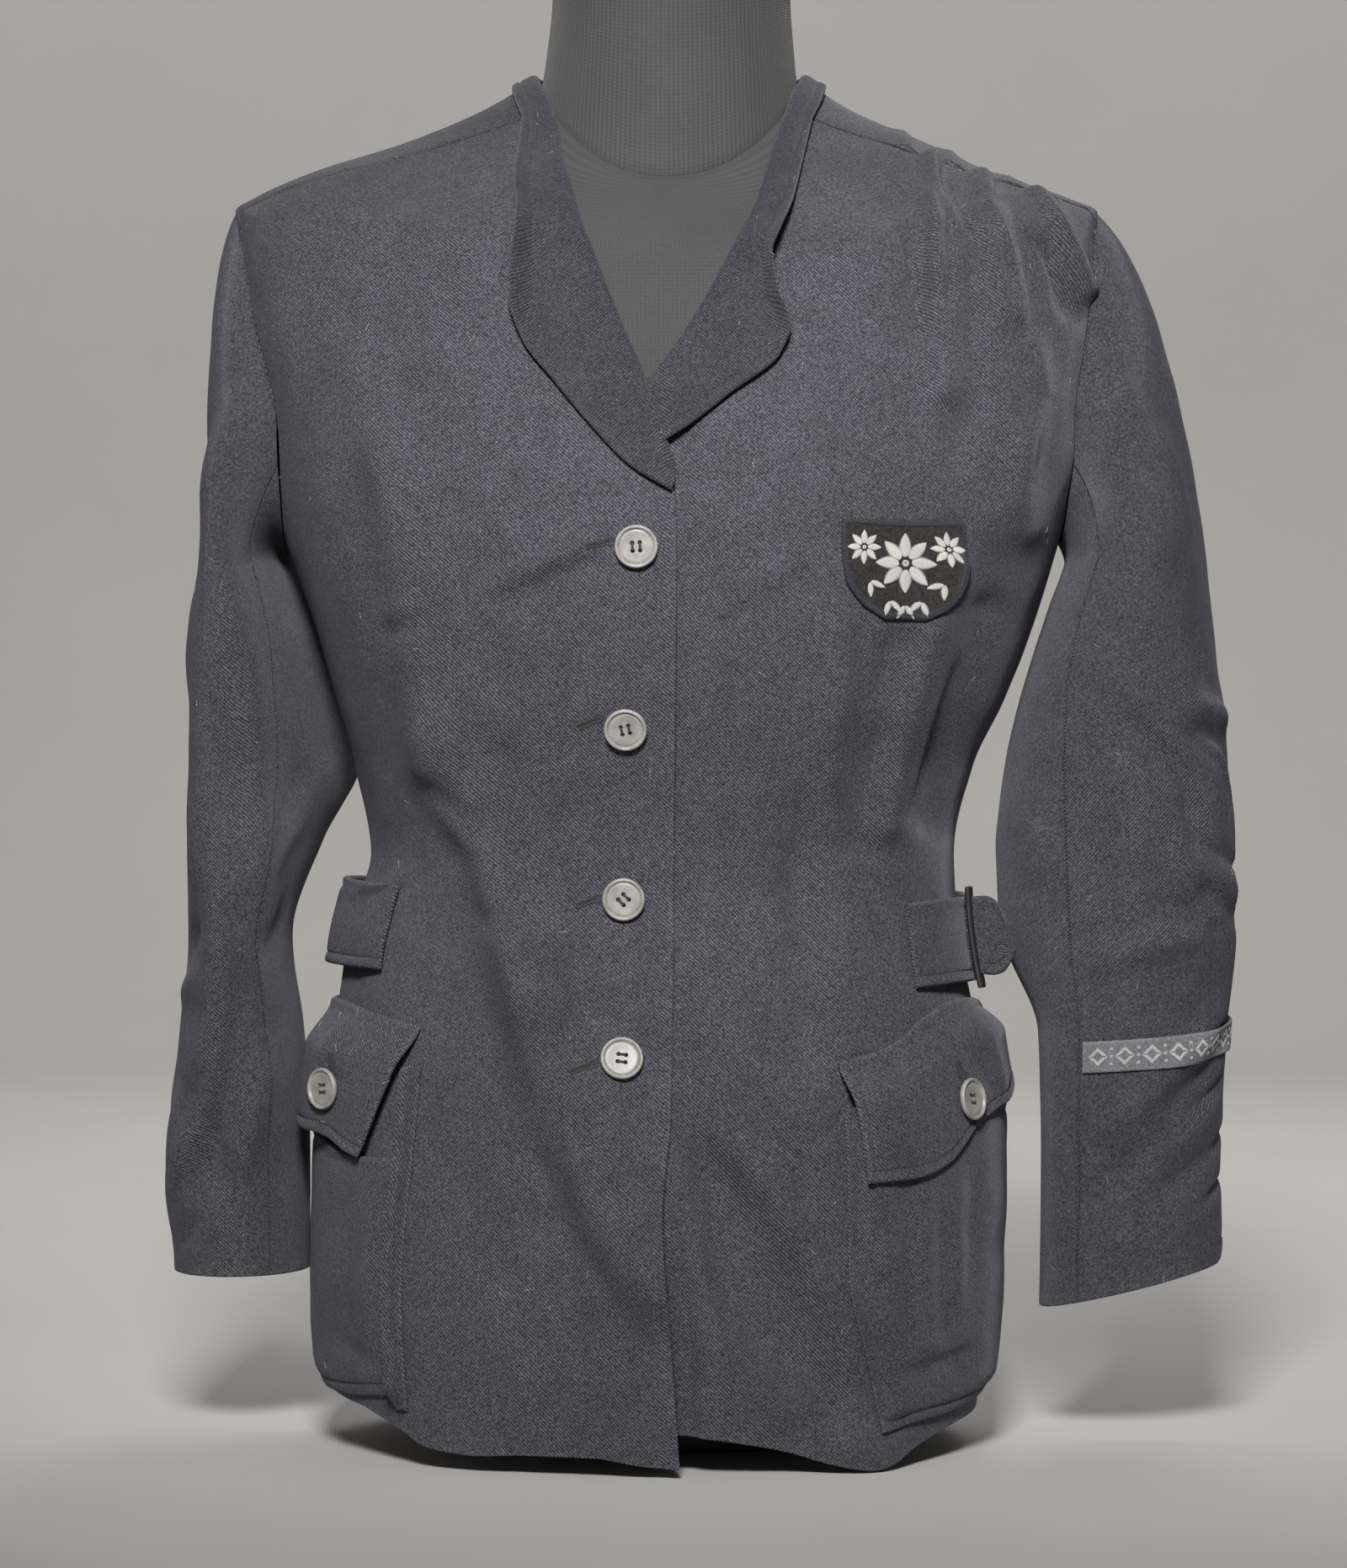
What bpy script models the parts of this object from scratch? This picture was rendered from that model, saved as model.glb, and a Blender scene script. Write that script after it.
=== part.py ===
"""A woman's single-breasted uniform jacket, worn by a limbless display form that stands on a flat base.

Units are metres and +Z is up. The front faces -Y, and +X is the wearer's left. The origin is the middle of
the stand's underside, on the floor. The tables are in millimetres and degrees: heights are measured from the
floor, and angles run round the body from the front centre, positive towards +X. A level is a ring of the
body, named by its height at the waist and below; higher up the rings dip at the front.
"""

import math

import bmesh
import bpy
import numpy as np
from mathutils import Matrix

# Driving dimensions.
MM = 0.001
PANEL_WALL = 2.0 * MM
POCKET_WALL = 1.6 * MM
PATCH_WALL = 1.4 * MM
BAND_WALL = 1.2 * MM
BAND_STAND = 0.9 * MM  # of the cuff band off the sleeve
DOUBLE_WALL = 2.4 * MM  # two plies: lapels, flaps and belt
SEAM_GAP = 0.3 * MM
LAYER_GAP = 0.6 * MM  # between a panel and what is sewn on it
BUTTON_DIAMETER = 20.0 * MM
BUTTON_THICKNESS = 3.4 * MM
BUTTON_SHANK = 0.8 * MM
PLINTH_EDGE = 1.5 * MM
PLINTH_SIZE = (92.0 * MM, 48.0 * MM, 21.7 * MM)  # half width, half depth and height of the form's stand

# How finely the cloth is divided.
SIDE_ROWS = 11  # hem to armpit
ARMHOLE_STEPS = 24  # round a whole armhole
FRONT_COLUMNS = 20
BACK_COLUMNS = 16
FORM_COLUMNS = 26

# Where the yoke meets the armhole, in steps from the armhole's foremost point.
YOKE_FRONT_STEP = 4
YOKE_BACK_STEP = 8
ARMPIT_STEP = 18

# The sleeve's seams, in the same steps: the upper piece runs from the first to the second.
SLEEVE_FRONT_SEAM = -2
SLEEVE_BACK_SEAM = 14

ARMPIT_LEVEL = 436.0
SHOULDER_LEVEL = 565.0
NECK_LEVEL = 655.0
YOKE_NECK_ANGLE = 59.0
ARMHOLE_HALF_ANGLE = {1: 20.0, -1: 22.0}  # by side: 1 is +X and -1 is -X


def table(names, rows):
    """A table as one list for each named column."""
    return {name: np.array([row[i] for row in rows], float) for i, name in enumerate(names.split())}


# Outer surface of the jacket's body as level rings: half widths, then depth and height at the side, front and back.
BODY = table(
    "level left right side_y side_z front_y front_z back_y back_z fullness",
    [
        (-10, 160, 147, 0, -10, -121, -10, 117, -10, 2.35),
        (40, 164, 153, 0, 40, -123, 40, 119, 40, 2.35),
        (98, 166, 157, 0, 98, -122, 98, 118, 98, 2.35),
        (150, 164, 157, 0, 150, -117, 150, 112, 150, 2.3),
        (200, 160, 151, 0, 200, -109, 200, 103, 200, 2.25),
        (240, 155, 144, 0, 240, -102, 240, 95, 240, 2.2),
        (262, 149, 141.5, 0, 262, -99, 262, 92, 262, 2.2),
        (285, 143, 140.5, 0, 285, -101, 285, 93, 285, 2.2),
        (325, 150.5, 149, 0, 325, -110, 325, 99, 325, 2.2),
        (360, 160, 165, 0, 360, -120, 360, 106, 360, 2.25),
        (400, 171.5, 180, 0, 400, -127, 400, 112, 400, 2.3),
        (436, 184, 191.5, 0, 436, -129, 436, 114, 436, 2.35),
        (480, 196, 205, 1, 484, -121, 478, 113, 482, 2.4),
        (530, 208, 213, 2, 545, -103, 525, 108, 540, 2.4),
        (565, 209, 210.5, 4, 596.5, -88, 562, 98, 585, 2.4),
        (575, 200, 197, 5, 603, -84, 573, 94, 598, 2.4),
        (594, 170, 158, 7, 617, -75, 585, 86, 615, 2.35),
        (618, 124, 125, 9, 632, -66, 597, 78, 632, 2.25),
        (637, 88, 90, 11, 648, -59, 606, 69, 648, 2.15),
        (655, 65, 69, 12, 662, -53, 612, 58, 662, 2.1),
    ],
)

# The display form as the same kind of rings, from its base to the top of its neck.
FORM = table(
    "level left right side_y side_z front_y front_z back_y back_z fullness",
    [
        (22, 139, 128, 0, 22, -96, 22, 94, 22, 2.2),
        (100, 145, 137, 0, 100, -104, 100, 102, 100, 2.2),
        (170, 141, 134, 0, 170, -98, 170, 96, 170, 2.2),
        (230, 130, 124, 0, 230, -87, 230, 82, 230, 2.15),
        (285, 122, 120, 0, 285, -85, 285, 78, 285, 2.15),
        (330, 132, 132, 0, 330, -98, 330, 87, 330, 2.2),
        (380, 148, 151, 0, 380, -111, 380, 96, 380, 2.25),
        (425, 162, 168, 0, 425, -117, 425, 102, 425, 2.3),
        (480, 178, 187, 1, 480, -108, 474, 102, 480, 2.35),
        (530, 190, 195, 2, 535, -91, 520, 98, 534, 2.35),
        (565, 192, 193, 4, 580, -77, 555, 89, 576, 2.4),
        (575, 186, 184, 5, 595, -74, 566, 86, 590, 2.4),
        (594, 168, 156.5, 7, 614.2, -67, 580, 80, 611, 2.35),
        (618, 122.7, 123.7, 9, 629.3, -59, 593, 72, 629, 2.25),
        (637, 86.5, 88.5, 11, 645.3, -53, 602, 63, 645, 2.15),
        (655, 61.5, 65.5, 12, 658.5, -49, 608, 53, 658, 2.1),
        (670, 58.5, 63.5, 12, 674, -47, 640, 52, 676, 2.1),
        (700, 55.5, 61.5, 12, 703, -45, 690, 51, 704, 2.1),
        (738, 55, 61, 12, 738, -44, 738, 51, 738, 2.1),
        (745, 50, 56, 12, 745, -39, 745, 46, 745, 2.1),
    ],
)

# The front edges and roll lines as seen from the front, from the hem up to the yoke seam.
RIGHT_FRONT_EDGE = table(
    "z x",
    [
        (4, 7),
        (60, 3),
        (120, -1),
        (165, 3),
        (300, 4.5),
        (436, 5.5),
        (454, 4),
        (469, -1),
        (498, -9.5),
        (545, -29),
        (582, -43),
        (617, -52.5),
    ],
)
LEFT_FRONT_EDGE = table(
    "z x",
    [
        (18, -28),
        (250, -28),
        (436, -28),
        (470, -26),
        (489, -15),
        (502, -5.6),
        (532, 15.6),
        (561, 31.4),
        (591, 45.5),
        (624, 57),
    ],
)

# Hems: height round the body.
RIGHT_HEM = table("angle z", [(-90, 30), (-60, 26), (-46, 17), (-40, 10.5), (-29, 8.2), (-20, 9.5), (-9, 9.5), (-2, 6), (3, 4.3)])
LEFT_HEM = table("angle z", [(-12, 18), (2, 18), (13, 14), (20, 9.6), (28, 4), (36, 1), (40, 2.2), (49, 9.6), (66, 17), (90, 20)])
BACK_HEM = table("angle z", [(90, 20), (120, 19), (180, 16), (240, 22), (270, 30)])

# Creases and gathers as seen from the front: a line from (x0, z0) to (x1, z1), its half width and its height.
RIGHT_FRONT_FOLDS = table(
    "x0 z0 x1 z1 width height",
    [
        (-118, 622, -122, 596, 5, -2.2),
        (-60, 600, -110, 520, 16, 2.0),
        (-128, 470, -108, 330, 12, 3.0),
        (-100, 340, -60, 220, 15, 3.5),
        (-62, 235, -8, 90, 18, 5.0),
        (-30, 250, -60, 120, 14, -2.5),
        (-8, 120, 4, 30, 12, 2.5),
    ],
)
LEFT_FRONT_FOLDS = table(
    "x0 z0 x1 z1 width height",
    [
        (107, 626, 104, 592, 5, -2.8),
        (116, 622, 119, 530, 6, -3.0),
        (126, 620, 128, 500, 6, 3.0),
        (140, 614, 142, 596, 5, -2.4),
        (152, 612, 162, 540, 7, 2.6),
        (166, 609, 194, 545, 6, -3.0),
        (176, 605, 203, 556, 6, 2.6),
        (150, 560, 168, 440, 10, 2.2),
        (132, 420, 105, 300, 9, 3.0),
        (152, 400, 128, 300, 8, -2.5),
        (112, 380, 92, 290, 8, -2.0),
        (62, 300, 66, 190, 14, -2.0),
        (2, 150, 70, 30, 20, -6.0),
        (20, 60, 96, 6, 16, 3.0),
    ],
)
# The same for the back, seen from behind with x as the front sees it.
BACK_FOLDS = table(
    "x0 z0 x1 z1 width height",
    [
        (-60, 420, -52, 285, 12, 3.0),
        (60, 420, 54, 285, 12, 3.0),
        (-20, 400, -16, 285, 10, 2.5),
        (22, 400, 18, 285, 10, 2.5),
        (-100, 400, -92, 290, 12, 2.5),
        (102, 400, 92, 290, 12, 2.5),
        (-70, 215, -86, 40, 16, 4.0),
        (70, 215, 84, 40, 16, 4.0),
        (0, 215, 0, 60, 14, 3.0),
    ],
)

# Sleeve sections: front, outer, back and inner points at each height, with x measured outwards.
LEFT_SLEEVE = table(
    "z front_x front_y outer_x outer_y back_x back_y inner_x inner_y",
    [
        (76, 212, -33, 271.5, -4, 228, 32, 182, 0),
        (126, 211, -36, 270.5, -4, 226, 34, 182.5, 0),
        (198, 208, -40, 273.5, -6, 222, 40, 181, 2),
        (249, 216, -42, 277, -4, 213, 46, 164, 10),
        (290, 215, -44, 277, -2, 212, 50, 162, 14),
        (331, 207, -48, 274.5, 0, 214, 56, 167, 16),
        (385, 200, -58, 269, 2, 220, 64, 180.5, 14),
        (425, 206, -62, 265, 2, 222, 70, 194, 10),
    ],
)
RIGHT_SLEEVE = table(
    "z front_x front_y outer_x outer_y back_x back_y inner_x inner_y",
    [
        (81, 206, -26, 240.5, 18, 206, 64, 174.5, 26),
        (126, 206, -28, 241.5, 18, 206, 66, 175, 26),
        (155, 206, -32, 242, 16, 205, 68, 175, 24),
        (200, 203, -38, 236.5, 8, 204, 68, 178, 20),
        (244, 201, -44, 232, 4, 200, 73, 183, 6),
        (290, 200, -50, 231, 6, 186, 80, 171, 24),
        (331, 203, -54, 228.5, 8, 170, 84, 154, 58),
        (385, 207, -60, 226, 4, 180, 84, 162, 54),
        (425, 208, -62, 223, 0, 190, 80, 180, 45),
    ],
)
SLEEVES = {1: LEFT_SLEEVE, -1: RIGHT_SLEEVE}
SLEEVE_NAMES = {1: "left", -1: "right"}
SLEEVE_RING_HEIGHTS = {
    1: (425, 393, 360, 327, 294, 260, 226, 192, 155, 116, 76),
    -1: (425, 393, 360, 327, 294, 260, 226, 192, 155, 118, 81),
}
CUFF_SLANT = {1: 0.24, -1: 0.0}  # rise of the cuff's edge for each unit outwards
CAP_RINGS = 5  # between the armhole and the first level ring
# How the sleeve leaves the armhole: outwards and up at the shoulder point, its strength, and outwards in front.
CAP_DIRECTION = {1: (0.72, -0.70, 0.67, 0.7), -1: (0.5, -0.87, 0.5, 0.35)}

SLEEVE_FOLDS = {
    1: table(
        "x0 z0 x1 z1 width height",
        [
            (218, 352, 248, 318, 6, -2.5),
            (248, 318, 254, 286, 6, -2.5),
            (228, 330, 222, 250, 10, 3.0),
            (236, 262, 268, 248, 7, -2.5),
            (200, 230, 250, 250, 8, 2.5),
            (205, 150, 262, 190, 8, 2.5),
            (200, 120, 250, 150, 8, -2.0),
        ],
    ),
    -1: table(
        "x0 z0 x1 z1 width height",
        [
            (-208, 420, -196, 330, 8, 3.5),
            (-196, 330, -192, 250, 7, 3.5),
            (-232, 180, -210, 120, 9, -3.0),
            (-192, 190, -206, 130, 8, 3.0),
            (-222, 200, -236, 100, 8, 2.0),
        ],
    ),
}

# Lapels as seen from the front: the roll line's x and z, then the outer edge's x and z, from the break up.
RIGHT_LAPEL = table(
    "step roll_x roll_z edge_x edge_z stand",
    [
        (0, 4, 455, 3, 452, 3.2),
        (1, -1, 469, -15.3, 463, 3.4),
        (2, -5, 484, -34.6, 483, 3.6),
        (3, -9.5, 498, -51, 503, 4.0),
        (4, -19, 521, -66, 523, 5.0),
        (5, -29, 545, -71.7, 541, 8.0),
        (6, -37, 566, -71, 559, 9.5),
        (7, -43, 582, -69, 577, 7.5),
        (8, -48, 600, -70.5, 598, 5.0),
        (9, -52, 617, -69.5, 620, 4.0),
        (10, -55, 636, -68.5, 638, 3.6),
    ],
)
LEFT_LAPEL = table(
    "step roll_x roll_z edge_x edge_z stand",
    [
        (0, -2.5, 481, 3.5, 475, 3.2),
        (1, -5.5, 490, 11, 481, 3.4),
        (2, -7.5, 499, 19, 488, 3.6),
        (3, 0, 509, 30, 497, 3.8),
        (4, 13, 528, 52.6, 515, 4.4),
        (5, 23, 545, 57.7, 528, 6.5),
        (6, 31.4, 561, 52, 544, 9.0),
        (7, 38, 575, 49.5, 562, 10.0),
        (8, 45.5, 591, 58, 582, 7.0),
        (9, 51.5, 609, 63.5, 605, 4.5),
        (10, 58, 634, 70.5, 637, 3.6),
    ],
)
# Where the lapels go on over the shoulder seam, to the collar behind the neck.
LAPEL_TOP = table("angle roll edge", [(66, 655, 645.5), (76, 655, 647), (86, 655, 648)])
LAPEL_STAND = 0.9  # of the lapels and collar off the panels
COLLAR_WIDTH = 7.0  # of the narrow turn-back round the neck, in level steps

# Pocket bags and flaps: bottom and top height round the body, stand-off, and how far the top leans round.
LEFT_POCKET = table(
    "angle bottom top lift lean",
    [
        (37.5, 18, 168, 0.9, -8.5),
        (38.7, 18, 168, 8.0, -8.0),
        (41, 19, 167, 8.5, -6.5),
        (45, 21, 166, 5.5, -4.0),
        (56, 23, 165, 4.4, 0),
        (70, 26, 165, 6.0, 0),
        (90, 29, 165, 7.0, 0),
        (103, 29, 165, 5.0, 0),
        (105, 29, 165, 0.9, 0),
    ],
)
RIGHT_POCKET = table(
    "angle bottom top lift lean",
    [
        (43.5, 27, 187, 0.9, 1.2),
        (44.3, 27, 187, 8.5, 1.2),
        (46.0, 27, 185, 9.0, 1.0),
        (47.6, 33, 144, 3.2, 0),
        (60, 31, 143, 3.4, 0),
        (75, 30, 143, 4.2, 0),
        (90, 34, 143, 5.0, 0),
        (110, 34, 143, 4.2, 0),
        (112, 34, 143, 0.9, 0),
    ],
)
LEFT_FLAP = table(
    "angle bottom top least lift lean",
    [
        (31, 133, 189, 11.4, 12.0, -2.5),
        (35, 133.5, 191.5, 11.4, 12.0, -1.5),
        (42, 134.5, 197, 9.5, 10.0, 0),
        (51, 140, 208, 7.0, 9.0, 0),
        (62.5, 157, 215, 6.8, 12.0, 0),
        (72, 163, 216, 8.0, 12.0, 0),
        (86, 173, 214, 9.0, 11.0, 0),
        (98, 178, 212, 8.5, 9.0, 0),
    ],
)
RIGHT_FLAP = table(
    "angle bottom top least lift lean",
    [
        (58, 142.5, 205, 6.5, 9.0, -12.5),
        (61, 143.5, 207, 6.5, 10.0, -11),
        (67, 147, 210, 6.5, 13.0, -8),
        (76, 152, 213, 7.0, 14.5, -5),
        (84, 157, 215, 7.5, 13.0, -2),
        (93, 162, 215, 8.0, 10.0, 0),
        (104, 166, 214, 7.5, 8.5, 0),
        (112, 166, 212, 7.5, 8.0, 0),
    ],
)
# The flaps hang flat where they face forwards: x and y of a point of each one's plane, and its turn.
LEFT_FLAP_PLANE = (147, -56, 48)
RIGHT_FLAP_PLANE = (-140, -73, -48)

# The belt: a long piece from the wearer's right round the back, and a short strap on the wearer's left.
BELT_PIECES = {
    "belt_strap_left": table("angle low high lift", [(51, 222, 262, 1.2), (58, 222.5, 263, 2.6), (66, 223, 264, 3.4), (75, 223, 264, 4.2)]),
    "belt_long": table(
        "angle low high lift",
        [
            (77, 223, 264, 4.4),
            (92, 224, 265, 5.4),
            (122, 226, 266, 5.0),
            (150, 228, 268, 5.0),
            (180, 229, 269, 5.0),
            (210, 230, 270, 5.0),
            (238, 231, 271, 5.2),
            (262, 231, 271, 6.8),
            (274, 231, 271, 7.0),
            (286, 231, 271, 4.4),
            (295, 231, 271, 2.6),
            (299, 231, 271, 1.2),
        ],
    ),
}
BELT_KEEPER = {"angle": 76.0, "half_width": 3.5, "low": 219.0, "high": 269.0, "lift": 5.3}
BELT_TAB = table("along half_height", [(0, 18.5), (6, 19.0), (11, 17.5), (15, 12.0), (17.5, 6.5)])
BELT_TAB_LEVEL = 246.0

PATCH = table(
    "z left right",
    [(440.5, 81, 138.5), (428, 80.5, 139), (414, 82, 138), (402, 90, 129), (394.5, 101, 118)],
)
CUFF_BAND = table("step z", [(-1.8, 187.5), (0, 189), (2, 191), (4, 194), (6, 197), (8, 199), (11.8, 198)])
CUFF_BAND_HEIGHT = 15.0

FRONT_BUTTONS = table("x z", [(-13, 427), (-18, 344), (-19, 265), (-20, 191.5)])
POCKET_BUTTONS = {"button_pocket_right": (-1, 161.5, 173.5), "button_pocket_left": (1, 143, 170)}
BUTTON_PROFILE = table(
    "radius height",
    [(0.0, 0.60), (0.62, 0.62), (0.78, 0.95), (0.90, 1.0), (1.0, 0.55), (0.85, 0.06), (0.0, 0.0)],
)
BUTTON_SIDES = 14

# Colours, roughness and metallic value of each finish.
FINISHES = {
    "wool_twill": ((0.040, 0.039, 0.052), 0.9, 0.0),
    "wool_facing": ((0.045, 0.043, 0.056), 0.9, 0.0),
    "belt_wool": ((0.038, 0.037, 0.048), 0.9, 0.0),
    "button_grey": ((0.42, 0.40, 0.38), 0.4, 0.0),
    "patch_ground": ((0.03, 0.028, 0.04), 0.9, 0.0),
    "band_weave": ((0.10, 0.10, 0.12), 0.85, 0.0),
    "form_jersey": ((0.11, 0.11, 0.115), 0.85, 0.0),
    "plinth_wood": ((0.05, 0.045, 0.04), 0.5, 0.0),
}


# Reading the tables.


def read(rows, key, name, at):
    """A column's value at points of the key column, along a smooth curve that never overshoots."""
    xs, ys = rows[key], rows[name]
    if xs[0] > xs[-1]:
        xs, ys = xs[::-1], ys[::-1]
    run = np.diff(xs)
    slope = np.diff(ys) / run
    tangent = np.zeros(len(xs))
    product = slope[:-1] * slope[1:]
    safe = np.where(product > 0, slope[:-1] + slope[1:], 1.0)
    tangent[1:-1] = np.where(product > 0, 2 * product / safe, 0.0)
    tangent[0], tangent[-1] = slope[0], slope[-1]
    at = np.clip(np.asarray(at, float), xs[0], xs[-1])
    i = np.clip(np.searchsorted(xs, at, side="right") - 1, 0, len(run) - 1)
    t = (at - xs[i]) / run[i]
    rise = ys[i + 1] - ys[i]
    bend = t * (1 - t)
    return (
        ys[i]
        + rise * t * t * (3 - 2 * t)
        + run[i] * (tangent[i] * bend * (1 - t) - tangent[i + 1] * bend * t)
    )


def ease(value, low, high):
    """0 below low and 1 above high, smooth between them."""
    t = np.clip((np.asarray(value, float) - low) / (high - low), 0, 1)
    return t * t * (3 - 2 * t)


def unit(vectors):
    return vectors / np.maximum(np.linalg.norm(vectors, axis=-1, keepdims=True), 1e-12)


# The body's surface.


def ring_point(rings, angle, level):
    """Points of a ring table's surface, in metres."""
    angle, level = np.broadcast_arrays(np.radians(angle), np.asarray(level, float))
    sine, cosine = np.sin(angle), np.cos(angle)
    power = 2 / read(rings, "level", "fullness", level)
    half = np.where(sine >= 0, read(rings, "level", "right", level), read(rings, "level", "left", level))
    side_y = read(rings, "level", "side_y", level)
    side_z = read(rings, "level", "side_z", level)
    facing = cosine >= 0
    end_y = np.where(facing, read(rings, "level", "front_y", level), read(rings, "level", "back_y", level))
    end_z = np.where(facing, read(rings, "level", "front_z", level), read(rings, "level", "back_z", level))
    x = np.sign(sine) * half * np.abs(sine) ** power
    y = side_y + (end_y - side_y) * np.abs(cosine) ** power
    z = side_z + (end_z - side_z) * np.abs(cosine) ** 1.5
    return np.stack([x, y, z], -1) * MM


def body_normal(angle, level):
    """Outward unit normals of the jacket's surface."""
    turn, rise = 0.6, 1.5
    level = np.minimum(level, NECK_LEVEL - rise)
    across = ring_point(BODY, angle + turn, level) - ring_point(BODY, angle - turn, level)
    up = ring_point(BODY, angle, level + rise) - ring_point(BODY, angle, level - rise)
    return unit(np.cross(across, up))


def on_front(x, z):
    """The angle and level of the points of the front that are seen at x and z."""
    x, z = np.broadcast_arrays(np.asarray(x, float), np.asarray(z, float))
    low, high = np.full(x.shape, -10.0), np.full(x.shape, NECK_LEVEL)
    for _ in range(40):
        level = (low + high) / 2
        angle = front_angle(x, level)
        above = ring_point(BODY, angle, level)[..., 2] / MM > z
        low, high = np.where(above, low, level), np.where(above, level, high)
    return np.stack([front_angle(x, level), level], -1)


def front_angle(x, level):
    """The angle at which a ring of the front is at x."""
    half = np.where(x >= 0, read(BODY, "level", "right", level), read(BODY, "level", "left", level))
    share = np.clip(np.abs(x) / half, 0, 1) ** (read(BODY, "level", "fullness", level) / 2)
    return np.sign(x) * np.degrees(np.arcsin(share))


def crease_lift(folds, x, z):
    """How far the creases of a table raise a cloth at x and z, in millimetres."""
    lift = np.zeros(np.broadcast(x, z).shape)
    for x0, z0, x1, z1, width, height in zip(*folds.values()):
        run = np.array([x1 - x0, z1 - z0])
        along = ((x - x0) * run[0] + (z - z0) * run[1]) / (run @ run)
        nearest = np.clip(along, 0, 1)
        away = np.hypot(x - x0 - nearest * run[0], z - z0 - nearest * run[1])
        lift = lift + height * np.exp(-((away / width) ** 2))
    return lift


# Meshes, objects and materials.


def material(name, finish):
    colour, roughness, metallic = FINISHES[finish]
    made = bpy.data.materials.new(f"{name}_{finish}")
    made.use_nodes = True
    shader = made.node_tree.nodes["Principled BSDF"]
    shader.inputs["Base Color"].default_value = (*colour, 1.0)
    shader.inputs["Roughness"].default_value = roughness
    shader.inputs["Metallic"].default_value = metallic
    return made


def add_object(name, mesh, finish, collection):
    mesh.materials.append(material(name, finish))
    obj = bpy.data.objects.new(name, mesh)
    collection.objects.link(obj)
    return obj


def finish_solid(name, bm, finish, collection):
    """Turns a closed shape's faces outwards and makes it an object."""
    bmesh.ops.recalc_face_normals(bm, faces=bm.faces)
    if bm.calc_volume(signed=True) < 0:
        bmesh.ops.reverse_faces(bm, faces=bm.faces)
    mesh = bpy.data.meshes.new(name)
    bm.to_mesh(mesh)
    bm.free()
    mesh.shade_smooth()
    mesh.set_sharp_from_angle(angle=math.radians(40))
    return add_object(name, mesh, finish, collection)


def pull_in(points, gap, closed=False):
    """Moves a sheet's edges inwards by the gap, so that it stays clear of its neighbours."""
    moved = points.copy()
    moved[0] += unit(points[1] - points[0]) * gap
    moved[-1] += unit(points[-2] - points[-1]) * gap
    if not closed:
        moved[:, 0] += unit(points[:, 1] - points[:, 0]) * gap
        moved[:, -1] += unit(points[:, -2] - points[:, -1]) * gap
    return moved


def cloth_wall(name, outer, normals, thickness, finish, collection):
    """A closed wall of cloth: a grid moved to its outer points, and its extrusion inwards along the normals."""
    rows, columns = outer.shape[:2]
    inner = (outer - normals * thickness).reshape(-1, 3)
    bm = bmesh.new()
    bmesh.ops.create_grid(bm, x_segments=columns - 1, y_segments=rows - 1)
    place = bm.verts.layers.int.new("place")
    for i, (vert, point) in enumerate(zip(bm.verts, outer.reshape(-1, 3))):
        vert[place] = i
        vert.co = point
    made = bmesh.ops.extrude_face_region(bm, geom=bm.faces[:], use_keep_orig=True)["geom"]
    under = {item for item in made if isinstance(item, bmesh.types.BMVert)}
    for vert in under:
        vert.co = inner[vert[place]]
    # Both pieces of a seam split their rims from the same corner, so that twisted rims stay parallel.
    rim = [face for face in bm.faces if 0 < sum(vert in under for vert in face.verts) < 4]
    for face in rim:
        first = min((vert for vert in face.verts if vert not in under), key=lambda vert: vert[place])
        last = max((vert for vert in face.verts if vert in under), key=lambda vert: vert[place])
        bmesh.utils.face_split(face, first, last)
    return finish_solid(name, bm, finish, collection)


def closed_loft(name, rings, finish, collection):
    """A solid through closed rings of equally many points, with flat ends."""
    bm = bmesh.new()
    loops = [[bm.verts.new(p) for p in ring] for ring in rings]
    for lower, upper in zip(loops, loops[1:]):
        for i in range(len(lower)):
            j = (i + 1) % len(lower)
            bm.faces.new((lower[i], lower[j], upper[j], upper[i]))
    bm.faces.new(loops[0][::-1])
    bm.faces.new(loops[-1])
    return finish_solid(name, bm, finish, collection)


# Seams that neighbouring panels share.


def armhole(side, steps):
    """Angle and level of the armhole at steps from its foremost point, going up over the shoulder."""
    turn = np.radians(np.asarray(steps, float) * 360 / ARMHOLE_STEPS)
    middle = (SHOULDER_LEVEL + ARMPIT_LEVEL) / 2
    half = (SHOULDER_LEVEL - ARMPIT_LEVEL) / 2
    angle = side * (90 - ARMHOLE_HALF_ANGLE[side] * np.cos(turn))
    return np.stack([angle, middle + half * np.sin(turn)], -1)


def yoke_seam(side, count):
    """The front yoke seam, from the neck to the armhole."""
    start = np.array([side * YOKE_NECK_ANGLE, NECK_LEVEL])
    end = armhole(side, YOKE_FRONT_STEP)
    return start + (end - start) * np.linspace(0, 1, count)[:, None]


def side_seam(angle, hem_z):
    """The side seam, from the hem up to the armpit."""
    levels = np.linspace(hem_z, ARMPIT_LEVEL, SIDE_ROWS + 1)
    return np.stack([np.full(len(levels), float(angle)), levels], -1)


def coons(bottom, top, inner, outer):
    """Fills a grid of angles and levels between four edges."""
    u = np.linspace(0, 1, len(bottom))[None, :, None]
    v = np.linspace(0, 1, len(inner))[:, None, None]
    across = inner[:, None] * (1 - u) + outer[:, None] * u
    along = bottom[None] * (1 - v) + top[None] * v
    corners = (bottom[0] * (1 - u) + bottom[-1] * u) * (1 - v) + (top[0] * (1 - u) + top[-1] * u) * v
    return across + along - corners


# The jacket's panels.


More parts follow.
